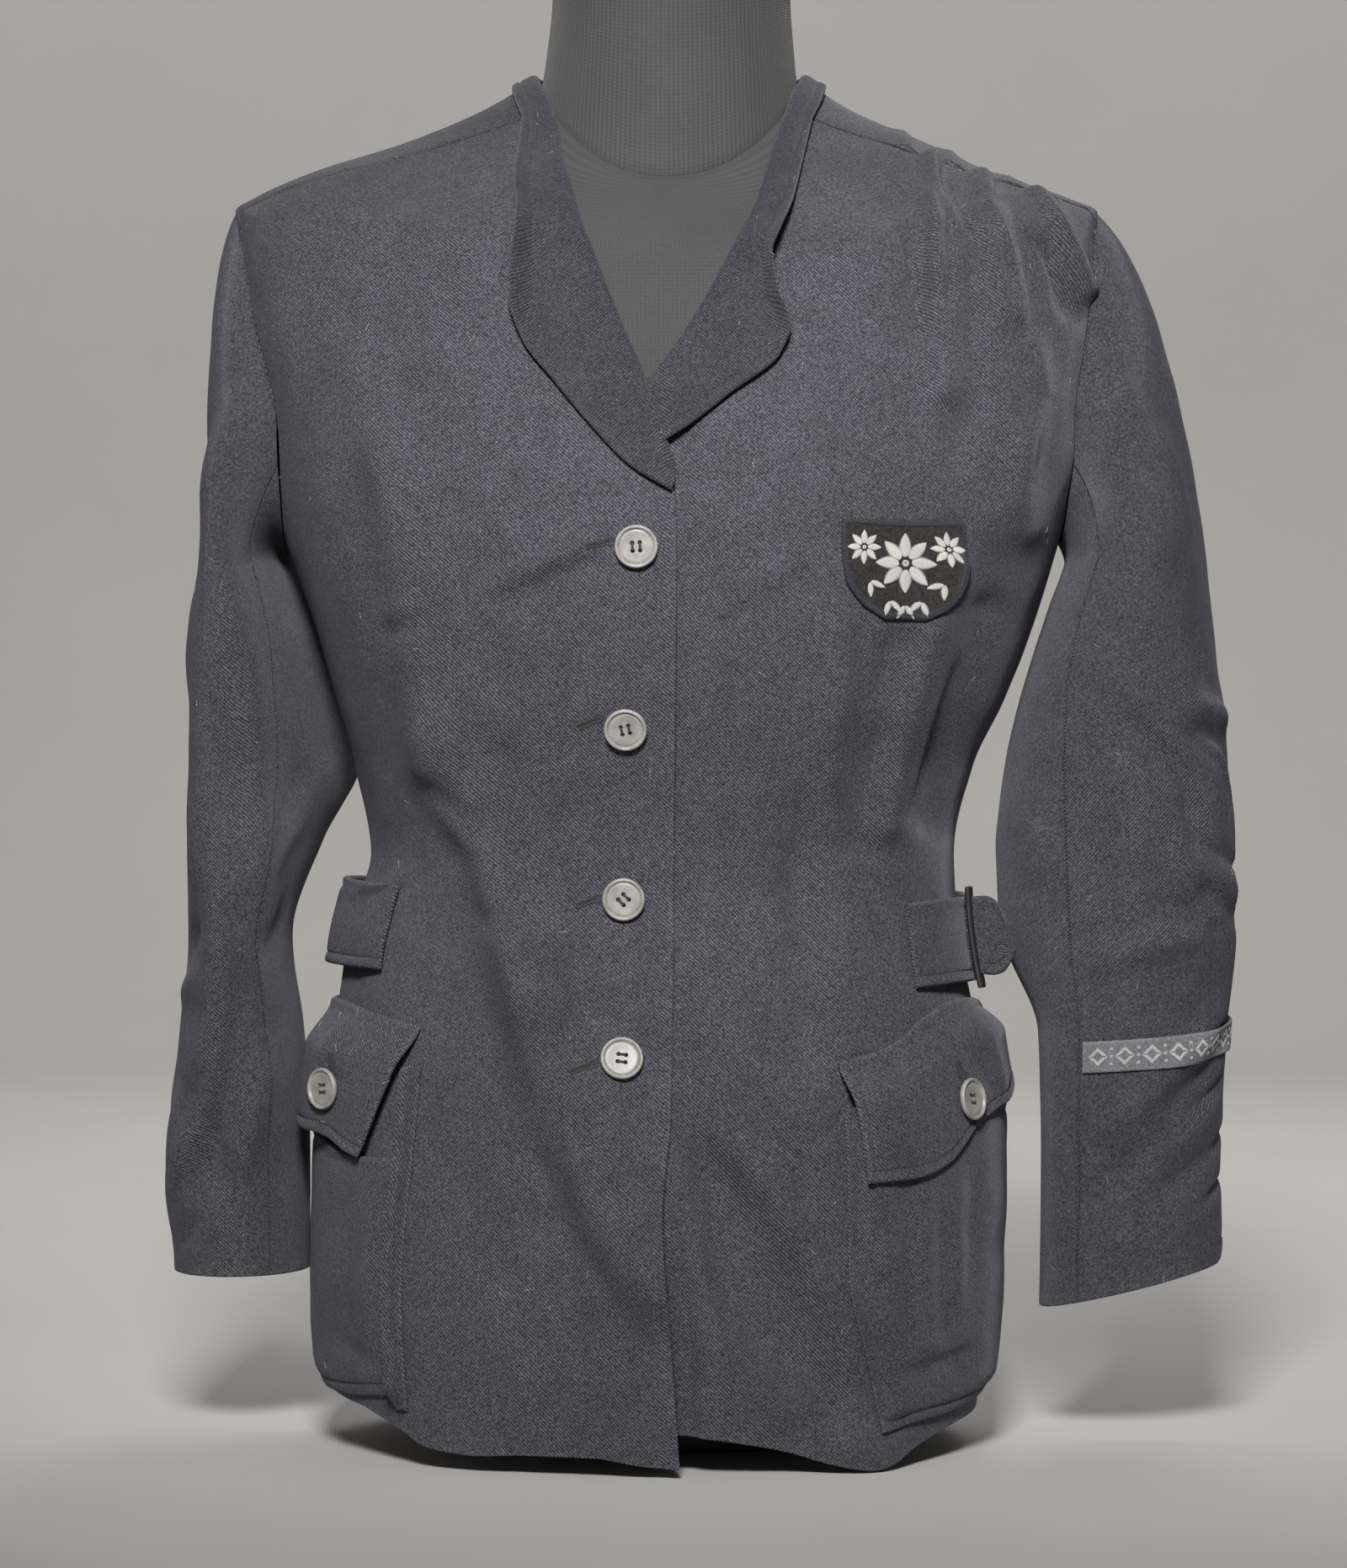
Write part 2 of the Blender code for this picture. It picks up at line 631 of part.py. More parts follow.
def front_grid(side, edge, hem):
    """Angles and levels of a front panel."""
    upper_rows = YOKE_FRONT_STEP + ARMHOLE_STEPS - ARMPIT_STEP
    seam = side_seam(side * 90, read(hem, "angle", "z", side * 90.0))
    arm = armhole(side, np.arange(ARMPIT_STEP, ARMHOLE_STEPS + YOKE_FRONT_STEP + 1))
    outer = np.concatenate([seam, arm[1:]])
    low = np.linspace(edge["z"][0], ARMPIT_LEVEL, SIDE_ROWS + 1)
    high = np.linspace(ARMPIT_LEVEL, edge["z"][-1], upper_rows)[1:]
    heights = np.concatenate([low, high])
    inner = on_front(read(edge, "z", "x", heights), heights)
    top = yoke_seam(side, FRONT_COLUMNS + 1)
    inner = np.concatenate([inner, top[:1]])
    angles = np.linspace(inner[0, 0], side * 90, FRONT_COLUMNS + 1)
    bottom = np.stack([angles, read(hem, "angle", "z", angles)], -1)
    inner[0, 1] = bottom[0, 1]
    return coons(bottom, top, inner, outer)


def seen(angle, level):
    """The x and z of the body's points, in millimetres."""
    points = ring_point(BODY, angle, level) / MM
    return points[..., 0], points[..., 2]


def body_panel(name, angle, level, lift, finish, collection):
    """A panel of the body, raised by a lift in millimetres."""
    points, normals = ring_point(BODY, angle, level), body_normal(angle, level)
    points = points + normals * (lift * MM)[..., None]
    return cloth_wall(name, pull_in(points, SEAM_GAP / 2), normals, PANEL_WALL, finish, collection)


def trim(name, angle, level, lift, wall, finish, collection):
    """A piece on top of a panel: its inner face stands off the creased cloth by a lift in millimetres."""
    angle, level, lift = np.broadcast_arrays(angle, level, lift)
    points, normals = ring_point(BODY, angle, level), body_normal(angle, level)
    points = points + normals * ((lift + creases(angle, level)) * MM + wall)[..., None]
    return cloth_wall(name, points, normals, wall, finish, collection)


def below_yoke(angle, level):
    """How far a point of a front lies below the yoke seam, in levels."""
    neck, arm = yoke_seam(1, 2)
    along = (np.abs(angle) - neck[0]) / (arm[0] - neck[0])
    return neck[1] + (arm[1] - neck[1]) * along - level


def creases(angle, level):
    """The lift of the body's panels, in millimetres: their side and yoke seams stay in place."""
    angle = (np.asarray(angle, float) + 90) % 360 - 90
    x, z = seen(angle, level)
    calm = ease(below_yoke(angle, level), 0, 7)
    right = crease_lift(RIGHT_FRONT_FOLDS, x, z) * ease(90 + angle, 2, 20) * calm
    # No hollow of the upper front presses on the one beneath.
    right = np.where(x > -42, np.maximum(right, -0.3), right)
    left = crease_lift(LEFT_FRONT_FOLDS, x, z) * ease(x, 8, 30) * ease(90 - angle, 2, 16) * calm
    rear = crease_lift(BACK_FOLDS, x, z) * ease(angle - 90, 2, 22) * ease(270 - angle, 2, 22)
    return np.where(angle > 90, rear, np.where(x < 8, right, left))


def right_front(collection):
    grid = front_grid(-1, RIGHT_FRONT_EDGE, RIGHT_HEM)
    angle, level = grid[..., 0], grid[..., 1]
    return body_panel("front_right", angle, level, creases(angle, level), "wool_twill", collection)


def underlap_lift(x, z):
    """How far the under front is set back beneath the upper one."""
    buried = (1 - ease(x, 10, 24)) * (1 - ease(z, 505, 540))
    return -(PANEL_WALL / MM + 1.3) * buried


def left_front(collection):
    grid = front_grid(1, LEFT_FRONT_EDGE, LEFT_HEM)
    angle, level = grid[..., 0], grid[..., 1]
    x, z = seen(angle, level)
    lift = np.where(x < 8, 0, creases(angle, level)) + underlap_lift(x, z)
    return body_panel("front_left", angle, level, lift, "wool_twill", collection)


def back(collection):
    """The back, between the side seams, the armholes and the yoke."""
    rows = ARMPIT_STEP - YOKE_BACK_STEP
    steps = np.arange(ARMPIT_STEP, YOKE_BACK_STEP - 1, -1)
    left, right = armhole(1, steps), armhole(-1, steps)
    right[:, 0] += 360
    inner = np.concatenate([side_seam(90, BACK_HEM["z"][0]), left[1:]])
    outer = np.concatenate([side_seam(270, BACK_HEM["z"][-1]), right[1:]])
    angles = np.linspace(90, 270, BACK_COLUMNS + 1)
    bottom = np.stack([angles, read(BACK_HEM, "angle", "z", angles)], -1)
    share = np.linspace(0, 1, BACK_COLUMNS + 1)[:, None]
    top = left[-1] + (right[-1] - left[-1]) * share
    grid = coons(bottom, top, inner, outer)
    assert len(grid) == SIDE_ROWS + rows + 1
    angle, level = grid[..., 0], grid[..., 1]
    return body_panel("back", angle, level, creases(angle, level), "wool_twill", collection)


def yoke(collection):
    """The yoke over both shoulders, from one front seam round the back to the other."""
    steps = np.arange(YOKE_FRONT_STEP, YOKE_BACK_STEP + 1)
    left, right = armhole(1, steps), armhole(-1, steps)[::-1]
    right[:, 0] += 360
    share = np.linspace(0, 1, BACK_COLUMNS + 1)[1:-1, None]
    across = left[-1] + (right[0] - left[-1]) * share
    outer = np.concatenate([left, across, right])
    # The neckline's points follow those of the outer edge, so that the cloth isn't twisted.
    turn = np.interp(outer[:, 0], [outer[0, 0], outer[-1, 0]], [YOKE_NECK_ANGLE, 360 - YOKE_NECK_ANGLE])
    neckline = np.stack([turn, np.full(len(turn), NECK_LEVEL)], -1)
    t = np.linspace(0, 1, FRONT_COLUMNS // 2 + 1)[:, None, None]
    grid = neckline[None] * (1 - t) + outer[None] * t
    grid = grid[::-1]
    return body_panel("yoke", grid[..., 0], grid[..., 1], 0 * grid[..., 0], "wool_twill", collection)


# The sleeves.


def sleeve_section(side, steps, z):
    """Points of a sleeve's level ring: an oval through its front and back, as wide as inner to outer."""
    rows = SLEEVES[side]
    front, outer, rear, inner = [
        np.array([read(rows, "z", place + "_x", z), read(rows, "z", place + "_y", z)])
        for place in ("front", "outer", "back", "inner")
    ]
    middle = (front + outer + rear + inner) / 4

    def oval(turn):
        return middle + (front - rear) / 2 * np.cos(turn) + (outer - inner) / 2 * np.sin(turn)

    reach = oval(np.radians(np.arange(0.0, 360.0, 3.0))[:, None])[:, 0]
    ring = oval(np.radians(np.asarray(steps, float) * 360 / ARMHOLE_STEPS)[:, None])
    x = np.interp(ring[:, 0], [reach.min(), reach.max()], [inner[0], outer[0]])
    return np.stack([side * x, ring[:, 1], np.full(len(ring), float(z))], -1)


def sleeve_points(side, steps):
    """All rings of a sleeve, from the armhole down to the cuff, in metres."""
    steps = np.asarray(steps, float)
    turn = np.radians(steps * 360 / ARMHOLE_STEPS)
    loop = armhole(side, steps)
    start = ring_point(BODY, loop[:, 0], loop[:, 1])
    first = sleeve_section(side, steps, SLEEVE_RING_HEIGHTS[side][0]) * MM
    reach = np.linalg.norm(first - start, axis=1, keepdims=True)
    out, up, strength, aside = CAP_DIRECTION[side]
    top = np.clip(np.sin(turn), 0, 1)
    level = np.abs(np.cos(turn))
    leave_out = side * (out * top + aside * level + 0.05)
    leave_up = up * top - 0.45 * level - 0.3 * (1 - top)
    leave = unit(np.stack([leave_out, -0.25 * np.cos(turn), leave_up], -1)) * reach * strength
    heights = SLEEVE_RING_HEIGHTS[side]
    below = sleeve_section(side, steps, heights[1]) * MM
    arrive = unit(below - first) * reach * 0.7
    rings = []
    for t in np.linspace(0, 1, CAP_RINGS + 2)[:-1]:
        a, b = 2 * t**3 - 3 * t**2 + 1, t**3 - 2 * t**2 + t
        rings.append(a * start + b * leave + (1 - a) * first + (t**3 - t**2) * arrive)
    middle = (SLEEVES[side]["outer_x"][0] + SLEEVES[side]["inner_x"][0]) / 2
    for z in SLEEVE_RING_HEIGHTS[side]:
        ring = sleeve_section(side, steps, z)
        near_cuff = 1 - ease(z, SLEEVE_RING_HEIGHTS[side][-1], 150)
        ring[:, 2] += CUFF_SLANT[side] * (side * ring[:, 0] - middle) * near_cuff
        rings.append(ring * MM)
    return np.array(rings)


def sleeve_normals(points, side, steps):
    """Outward normals of a sleeve's grid; over the shoulder its edge takes the body's, to meet it squarely."""
    down = np.gradient(points, axis=0)
    wide = np.concatenate([points[:, -2:-1], points, points[:, 1:2]], 1)
    round_it = wide[:, 2:] - wide[:, :-2]
    normals = unit(np.cross(down, round_it)) * side
    loop = armhole(side, steps)
    share = ease(np.sin(np.radians(steps * 360 / ARMHOLE_STEPS)), -0.6, 0.2)[:, None]
    normals[0] = unit(normals[0] * (1 - share) + body_normal(loop[:, 0], loop[:, 1]) * share)
    return normals


def sleeve(side, collection):
    """A two-piece sleeve: the upper piece outside and the narrower under piece towards the body."""
    steps = np.arange(SLEEVE_FRONT_SEAM, SLEEVE_FRONT_SEAM + ARMHOLE_STEPS + 1)
    points = sleeve_points(side, steps)
    normals = sleeve_normals(points, side, steps)
    x, z = points[..., 0] / MM, points[..., 2] / MM
    facing = ease(-normals[..., 1], -0.2, 0.4) * ease(np.arange(len(points)), 1, 3)[:, None]
    lift = crease_lift(SLEEVE_FOLDS[side], x, z) * facing
    points = points + normals * (lift * MM)[..., None]
    across = SLEEVE_BACK_SEAM - SLEEVE_FRONT_SEAM
    for part, columns in (("upper", slice(0, across + 1)), ("under", slice(across, None))):
        piece = pull_in(points[:, columns], SEAM_GAP / 2)
        name = f"sleeve_{SLEEVE_NAMES[side]}_{part}"
        cloth_wall(name, piece, normals[:, columns], PANEL_WALL, "wool_twill", collection)
    return points, normals


# Collar, pockets, belt and trim, all made from the body's points.


def lapel(name, side, rows, columns, collection):
    """A turned-back front edge, lying on its front panel from the roll line to its stitched outer edge."""
    steps = np.linspace(0, rows["step"][-1], 15)
    roll = on_front(read(rows, "step", "roll_x", steps), read(rows, "step", "roll_z", steps))
    edge = on_front(read(rows, "step", "edge_x", steps), read(rows, "step", "edge_z", steps))
    roll = np.concatenate([roll, np.stack([side * LAPEL_TOP["angle"], LAPEL_TOP["roll"]], -1)])
    edge = np.concatenate([edge, np.stack([side * LAPEL_TOP["angle"], LAPEL_TOP["edge"]], -1)])
    share = np.linspace(0, 1, columns)[None, :, None]
    grid = roll[:, None] * (1 - share) + edge[:, None] * share
    stand = np.concatenate([read(rows, "step", "stand", steps), np.full(len(LAPEL_TOP["angle"]), 3.4)])[:, None]
    across = share[..., 0]
    lift = LAPEL_STAND + 0.6 * np.sin(np.pi * across) + (stand - 3.0) * ease(across, 0.45, 1.0)
    trim(name, grid[..., 0], grid[..., 1], lift, DOUBLE_WALL, "wool_facing", collection)


def collar_back(collection):
    """The narrow turn-back that joins the two lapels round the back of the neck."""
    angles = np.linspace(86.6, 273.4, 17)
    levels = np.linspace(NECK_LEVEL - COLLAR_WIDTH, NECK_LEVEL, 4)
    angle, level = np.meshgrid(angles, levels)
    trim("collar_back", angle, level, LAPEL_STAND, DOUBLE_WALL, "wool_facing", collection)


def patch_grid(rows, side, counts, straight):
    """Angles, levels and shares of height of a piece between the bottom and top heights of a table."""
    columns = len(rows["angle"])
    angles = np.interp(np.linspace(0, columns - 1, counts[0]), np.arange(columns), rows["angle"])
    share = np.linspace(0, 1, counts[1])[:, None]
    level = read(rows, "angle", "bottom", angles) * (1 - share) + read(rows, "angle", "top", angles) * share
    angle = side * (angles + read(rows, "angle", "lean", angles) * ease(share, 0, 0.5) * (1 - straight))
    angle = angle + side * read(rows, "angle", "lean", angles) * share * straight
    return angles, angle, level, share


def pocket(name, rows, side, collection):
    """A pocket bag, sewn down at its sides and bottom and open at its top."""
    angles, angle, level, share = patch_grid(rows, side, (17, 7), 0)
    lift = 0.9 + (read(rows, "angle", "lift", angles) - 0.9) * ease(share, 0, 0.08)
    turned = slice(None, None, side)
    trim(name, angle[:, turned], level[:, turned], lift[:, turned], POCKET_WALL, "wool_twill", collection)


def flap(name, rows, side, plane, collection):
    """A pocket flap, sewn down at its top and hanging flat in front of the bag."""
    angles, angle, level, share = patch_grid(rows, side, (15, 6), 1)
    x, y, turn = plane
    facing = np.array([math.sin(math.radians(turn)), -math.cos(math.radians(turn)), 0])
    away = (np.array([x, y, 0]) * MM - ring_point(BODY, angle, level)) @ facing
    flat = away / (body_normal(angle, level) @ facing) / MM
    flat = np.clip(flat, read(rows, "angle", "least", angles), read(rows, "angle", "lift", angles))
    lift = 0.8 + (flat - 0.8) * ease(1 - share, 0, 0.4)
    turned = slice(None, None, side)
    return trim(name, angle[:, turned], level[:, turned], lift[:, turned], DOUBLE_WALL, "wool_twill", collection)


def belt(collection):
    """The waist belt: the long piece, the short front strap, a keeper and the pointed free end."""
    for name, rows in BELT_PIECES.items():
        columns = len(rows["angle"])
        angles = np.interp(np.linspace(0, columns - 1, 3 * columns - 2), np.arange(columns), rows["angle"])
        share = np.linspace(0, 1, 4)[:, None]
        level = read(rows, "angle", "low", angles) * (1 - share) + read(rows, "angle", "high", angles) * share
        trim(name, angles, level, read(rows, "angle", "lift", angles), DOUBLE_WALL, "belt_wool", collection)
    keeper = BELT_KEEPER
    angle, level = np.meshgrid(
        np.linspace(keeper["angle"] - keeper["half_width"], keeper["angle"] + keeper["half_width"], 4),
        np.linspace(keeper["low"], keeper["high"], 4),
    )
    trim("belt_keeper", angle, level, keeper["lift"] + DOUBLE_WALL / MM, DOUBLE_WALL, "belt_wool", collection)
    # The free end stands straight out of the keeper and follows its slope at the root.
    share = np.linspace(-1, 1, 4)[:, None]
    level = BELT_TAB_LEVEL + share * BELT_TAB["half_height"][0]
    out = body_normal(np.array([keeper["angle"]]), np.array([BELT_TAB_LEVEL]))[0]
    stand = (keeper["lift"] + creases(keeper["angle"], level) + 1.0) * MM + 2 * DOUBLE_WALL
    root = ring_point(BODY, keeper["angle"], level) + out * stand[..., None]
    outer = root + (out * BELT_TAB["along"][:, None])[None] * MM
    outer[..., 2] = (BELT_TAB_LEVEL + share * BELT_TAB["half_height"]) * MM
    facing = np.broadcast_to(unit(np.cross(out, [0.0, 0.0, 1.0])), outer.shape)
    cloth_wall("belt_tab", outer + facing * DOUBLE_WALL / 2, facing, DOUBLE_WALL, "belt_wool", collection)


def chest_patch(collection):
    """The shield-shaped patch on the wearer's left breast."""
    heights = np.linspace(PATCH["z"][-1], PATCH["z"][0], 7)
    left, right = read(PATCH, "z", "left", heights), read(PATCH, "z", "right", heights)
    share = np.linspace(0, 1, 7)[None]
    x = left[:, None] * (1 - share) + right[:, None] * share
    z = np.broadcast_to(heights[:, None], x.shape)
    grid = on_front(x, z)
    trim("chest_patch", grid[..., 0], grid[..., 1], LAYER_GAP / MM, PATCH_WALL, "patch_ground", collection)


def cuff_band(grid, normals, collection):
    """The woven band round the outside of the left sleeve, above the cuff, laid on the sleeve's own points."""
    steps = np.linspace(CUFF_BAND["step"][0], CUFF_BAND["step"][-1], 15)
    heights = read(CUFF_BAND, "step", "z", steps) + np.linspace(-0.5, 0.5, 3)[:, None] * CUFF_BAND_HEIGHT
    columns = steps - SLEEVE_FRONT_SEAM
    points, facing = np.zeros((*heights.shape, 3)), np.zeros((*heights.shape, 3))
    for i, column in enumerate(columns):
        left = int(column)
        share = column - left
        path = grid[:, left] * (1 - share) + grid[:, left + 1] * share
        way = normals[:, left] * (1 - share) + normals[:, left + 1] * share
        for axis in range(3):
            points[:, i, axis] = np.interp(heights[:, i] * MM, path[::-1, 2], path[::-1, axis])
            facing[:, i, axis] = np.interp(heights[:, i] * MM, path[::-1, 2], way[::-1, axis])
    facing = unit(facing)
    outer = points + facing * (BAND_WALL + BAND_STAND)
    cloth_wall("cuff_band", outer, facing, BAND_WALL, "band_weave", collection)


def button(name, place, axis, collection):
    """A round button with a raised rim: a profile turned about its own axis, its shank's end at a place."""
    points = [
        (radius * BUTTON_DIAMETER / 2, 0.0, BUTTON_SHANK + height * BUTTON_THICKNESS)
        for radius, height in zip(BUTTON_PROFILE["radius"], BUTTON_PROFILE["height"])
    ]
    mesh = bpy.data.meshes.new(name)
    mesh.from_pydata(points, [(i, i + 1) for i in range(len(points) - 1)], [])
    obj = add_object(name, mesh, "button_grey", collection)
    side = unit(np.cross([0.0, 0.0, 1.0], axis))
    turn = Matrix(np.stack([side, np.cross(axis, side), axis], 1).tolist())
    obj.matrix_world = Matrix.Translation(place) @ turn.to_4x4()
    turned = obj.modifiers.new("turned", "SCREW")
    turned.steps = turned.render_steps = BUTTON_SIDES
    turned.use_merge_vertices = True
    turned.merge_threshold = 0.01 * MM
    return obj


def nearest_on(obj, x, z):
    """The foremost point of an object at x and z, in metres, and its normal there."""
    hit, place, normal, _ = obj.ray_cast((x, -1.0, z), (0.0, 1.0, 0.0))
    assert hit, obj.name
    return np.array(place), np.array(normal)


def buttons(front, flaps, collection):
    for i, (x, z) in enumerate(zip(FRONT_BUTTONS["x"], FRONT_BUTTONS["z"]), 1):
        place, normal = nearest_on(front, x * MM, z * MM)
        button(f"button_front_{i}", place, normal, collection)
    for name, (side, x, z) in POCKET_BUTTONS.items():
        place, normal = nearest_on(flaps[side], side * x * MM, z * MM)
        button(name, place, normal, collection)


# The display form.


def display_form(collection):
    """A limbless torso with a neck, on a low oval plinth."""
    angles = np.arange(FORM_COLUMNS) * 360 / FORM_COLUMNS
    between = [60, 140, 200, 258, 308, 355, 402, 452, 505, 548]
    rings = [ring_point(FORM, angles, level) for level in sorted([*FORM["level"], *between])]
    closed_loft("form_torso", rings, "form_jersey", collection)
    half_width, half_depth, height = PLINTH_SIZE
    bpy.ops.mesh.primitive_cylinder_add(vertices=36, radius=1, depth=height, location=(0, 0, height / 2))
    plinth = bpy.context.object
    plinth.name = plinth.data.name = "form_plinth"
    plinth.scale = (half_width, half_depth, 1)
    bpy.ops.object.transform_apply(location=True, rotation=True, scale=True)
    for owner in list(plinth.users_collection):
        owner.objects.unlink(plinth)
    collection.objects.link(plinth)
    plinth.data.materials.append(material("form_plinth", "plinth_wood"))
    rounding = plinth.modifiers.new("edges", "BEVEL")
    rounding.width = PLINTH_EDGE
    rounding.segments = 1
    rounding.limit_method = "ANGLE"


def clear_scene():
    for obj in list(bpy.data.objects):
        bpy.data.objects.remove(obj, do_unlink=True)


def main():
    clear_scene()
    collection = bpy.data.collections.new("uniform_jacket_on_form")
    bpy.context.scene.collection.children.link(collection)
    display_form(collection)
    front = right_front(collection)
    left_front(collection)
    back(collection)
    yoke(collection)
    sleeve(-1, collection)
    left_sleeve = sleeve(1, collection)
    lapel("lapel_right", -1, RIGHT_LAPEL, 7, collection)
    lapel("lapel_left", 1, LEFT_LAPEL, 7, collection)
    collar_back(collection)
    pocket("pocket_left", LEFT_POCKET, 1, collection)
    pocket("pocket_right", RIGHT_POCKET, -1, collection)
    flaps = {
        1: flap("flap_left", LEFT_FLAP, 1, LEFT_FLAP_PLANE, collection),
        -1: flap("flap_right", RIGHT_FLAP, -1, RIGHT_FLAP_PLANE, collection),
    }
    belt(collection)
    chest_patch(collection)
    cuff_band(*left_sleeve, collection)
    buttons(front, flaps, collection)


main()
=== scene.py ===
import math

import bmesh
import bpy
import numpy as np
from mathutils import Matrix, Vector
from mathutils.bvhtree import BVHTree


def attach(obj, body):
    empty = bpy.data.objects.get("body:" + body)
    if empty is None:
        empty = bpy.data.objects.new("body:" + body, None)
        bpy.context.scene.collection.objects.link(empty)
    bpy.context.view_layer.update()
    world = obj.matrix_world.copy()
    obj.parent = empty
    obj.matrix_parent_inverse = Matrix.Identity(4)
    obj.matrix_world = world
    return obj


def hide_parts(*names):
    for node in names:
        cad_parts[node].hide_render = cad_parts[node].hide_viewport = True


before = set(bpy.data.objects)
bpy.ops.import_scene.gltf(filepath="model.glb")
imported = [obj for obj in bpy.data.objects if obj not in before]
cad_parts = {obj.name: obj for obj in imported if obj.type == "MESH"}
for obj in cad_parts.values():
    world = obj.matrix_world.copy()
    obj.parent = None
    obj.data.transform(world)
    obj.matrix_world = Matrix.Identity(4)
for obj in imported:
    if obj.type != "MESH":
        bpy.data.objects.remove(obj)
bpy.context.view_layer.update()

# Lengths in the tables are in millimetres and angles in degrees, as in the part's source. Heights are from the floor,
# and angles run round the body from the front centre, positive towards +X, the wearer's left.
mm = 0.001
wallPanel, wallPocket, wallDouble = 2.0, 1.6, 2.4
armpitLevel, shoulderLevel, neckLevel = 436.0, 565.0, 655.0
yokeNeckAngle = 59.0
armholeSpread = {1: 20.0, -1: 22.0}
armholeSteps, armpitStep, yokeFrontStep, yokeBackStep = 24, 18, 4, 8
sleeveFrontSeam, sleeveBackSeam = -2, 14
sideRows, topRows = 11, 10
yokeBackSteps = 16  # across the back seam
seamGap = 0.12  # by which each panel ends before its seam
foldStrength, wrinkleStrength = 2.1, 2.1


def table(names, rows):
    # Rows of numbers as named columns.
    return {name: np.array([row[i] for row in rows], float) for i, name in enumerate(names.split())}


# A fold runs from one point of the front view to another, with a width and the height that it raises the cloth by.
foldColumns = "x0 z0 x1 z1 width height"

# Outer surface of the jacket's body as level rings: half widths, then depth and height at the side, front and back.
bodyRings = table("level left right side_y side_z front_y front_z back_y back_z fullness", [
    (-10, 160, 147, 0, -10, -121, -10, 117, -10, 2.35), (40, 164, 153, 0, 40, -123, 40, 119, 40, 2.35),
    (98, 166, 157, 0, 98, -122, 98, 118, 98, 2.35), (150, 164, 157, 0, 150, -117, 150, 112, 150, 2.3),
    (200, 160, 151, 0, 200, -109, 200, 103, 200, 2.25), (240, 155, 144, 0, 240, -102, 240, 95, 240, 2.2),
    (262, 149, 141.5, 0, 262, -99, 262, 92, 262, 2.2), (285, 143, 140.5, 0, 285, -101, 285, 93, 285, 2.2),
    (325, 150.5, 149, 0, 325, -110, 325, 99, 325, 2.2), (360, 160, 165, 0, 360, -120, 360, 106, 360, 2.25),
    (400, 171.5, 180, 0, 400, -127, 400, 112, 400, 2.3), (436, 184, 191.5, 0, 436, -129, 436, 114, 436, 2.35),
    (480, 196, 205, 1, 484, -121, 478, 113, 482, 2.4), (530, 208, 213, 2, 545, -103, 525, 108, 540, 2.4),
    (565, 209, 210.5, 4, 596.5, -88, 562, 98, 585, 2.4), (575, 200, 197, 5, 603, -84, 573, 94, 598, 2.4),
    (594, 170, 158, 7, 617, -75, 585, 86, 615, 2.35), (618, 124, 125, 9, 632, -66, 597, 78, 632, 2.25),
    (637, 88, 90, 11, 648, -59, 606, 69, 648, 2.15), (655, 65, 69, 12, 662, -53, 612, 58, 662, 2.1),
])

# The display form as the same kind of rings, from its base to the top of its neck.
formRings = table("level left right side_y side_z front_y front_z back_y back_z fullness", [
    (22, 139, 128, 0, 22, -96, 22, 94, 22, 2.2), (100, 145, 137, 0, 100, -104, 100, 102, 100, 2.2),
    (170, 141, 134, 0, 170, -98, 170, 96, 170, 2.2), (230, 130, 124, 0, 230, -87, 230, 82, 230, 2.15),
    (285, 122, 120, 0, 285, -85, 285, 78, 285, 2.15), (330, 132, 132, 0, 330, -98, 330, 87, 330, 2.2),
    (380, 148, 151, 0, 380, -111, 380, 96, 380, 2.25), (425, 162, 168, 0, 425, -117, 425, 102, 425, 2.3),
    (480, 178, 187, 1, 480, -108, 474, 102, 480, 2.35), (530, 190, 195, 2, 535, -91, 520, 98, 534, 2.35),
    (565, 192, 193, 4, 580, -77, 555, 89, 576, 2.4), (575, 186, 184, 5, 595, -74, 566, 86, 590, 2.4),
    (594, 168, 156.5, 7, 614.2, -67, 580, 80, 611, 2.35), (618, 122.7, 123.7, 9, 629.3, -59, 593, 72, 629, 2.25),
    (637, 86.5, 88.5, 11, 645.3, -53, 602, 63, 645, 2.15), (655, 61.5, 65.5, 12, 658.5, -49, 608, 53, 658, 2.1),
    (670, 58.5, 63.5, 12, 674, -47, 640, 52, 676, 2.1), (700, 55.5, 61.5, 12, 703, -45, 690, 51, 704, 2.1),
    (738, 55, 61, 12, 738, -44, 738, 51, 738, 2.1), (745, 50, 56, 12, 745, -39, 745, 46, 745, 2.1),
])

# The front edges and roll lines as seen from the front, from the hem up to the yoke seam.
rightFrontEdge = table("z x", [
    (4, 7), (60, 3), (120, -1), (165, 3), (300, 4.5), (436, 5.5), (454, 4), (469, -1), (498, -9.5), (545, -29),
    (582, -43), (617, -52.5),
])
leftFrontEdge = table("z x", [
    (18, -28), (250, -28), (436, -28), (470, -26), (489, -15), (502, -5.6), (532, 15.6), (561, 31.4), (591, 45.5),
    (624, 57),
])

# Hems: height round the body.
rightHem = table("angle z", [
    (-90, 30), (-60, 26), (-46, 17), (-40, 10.5), (-29, 8.2), (-20, 9.5), (-9, 9.5), (-2, 6), (3, 4.3),
])
leftHem = table("angle z", [
    (-12, 18), (2, 18), (13, 14), (20, 9.6), (28, 4), (36, 1), (40, 2.2), (49, 9.6), (66, 17), (90, 20),
])
backHem = table("angle z", [(90, 20), (120, 19), (180, 16), (240, 22), (270, 30)])

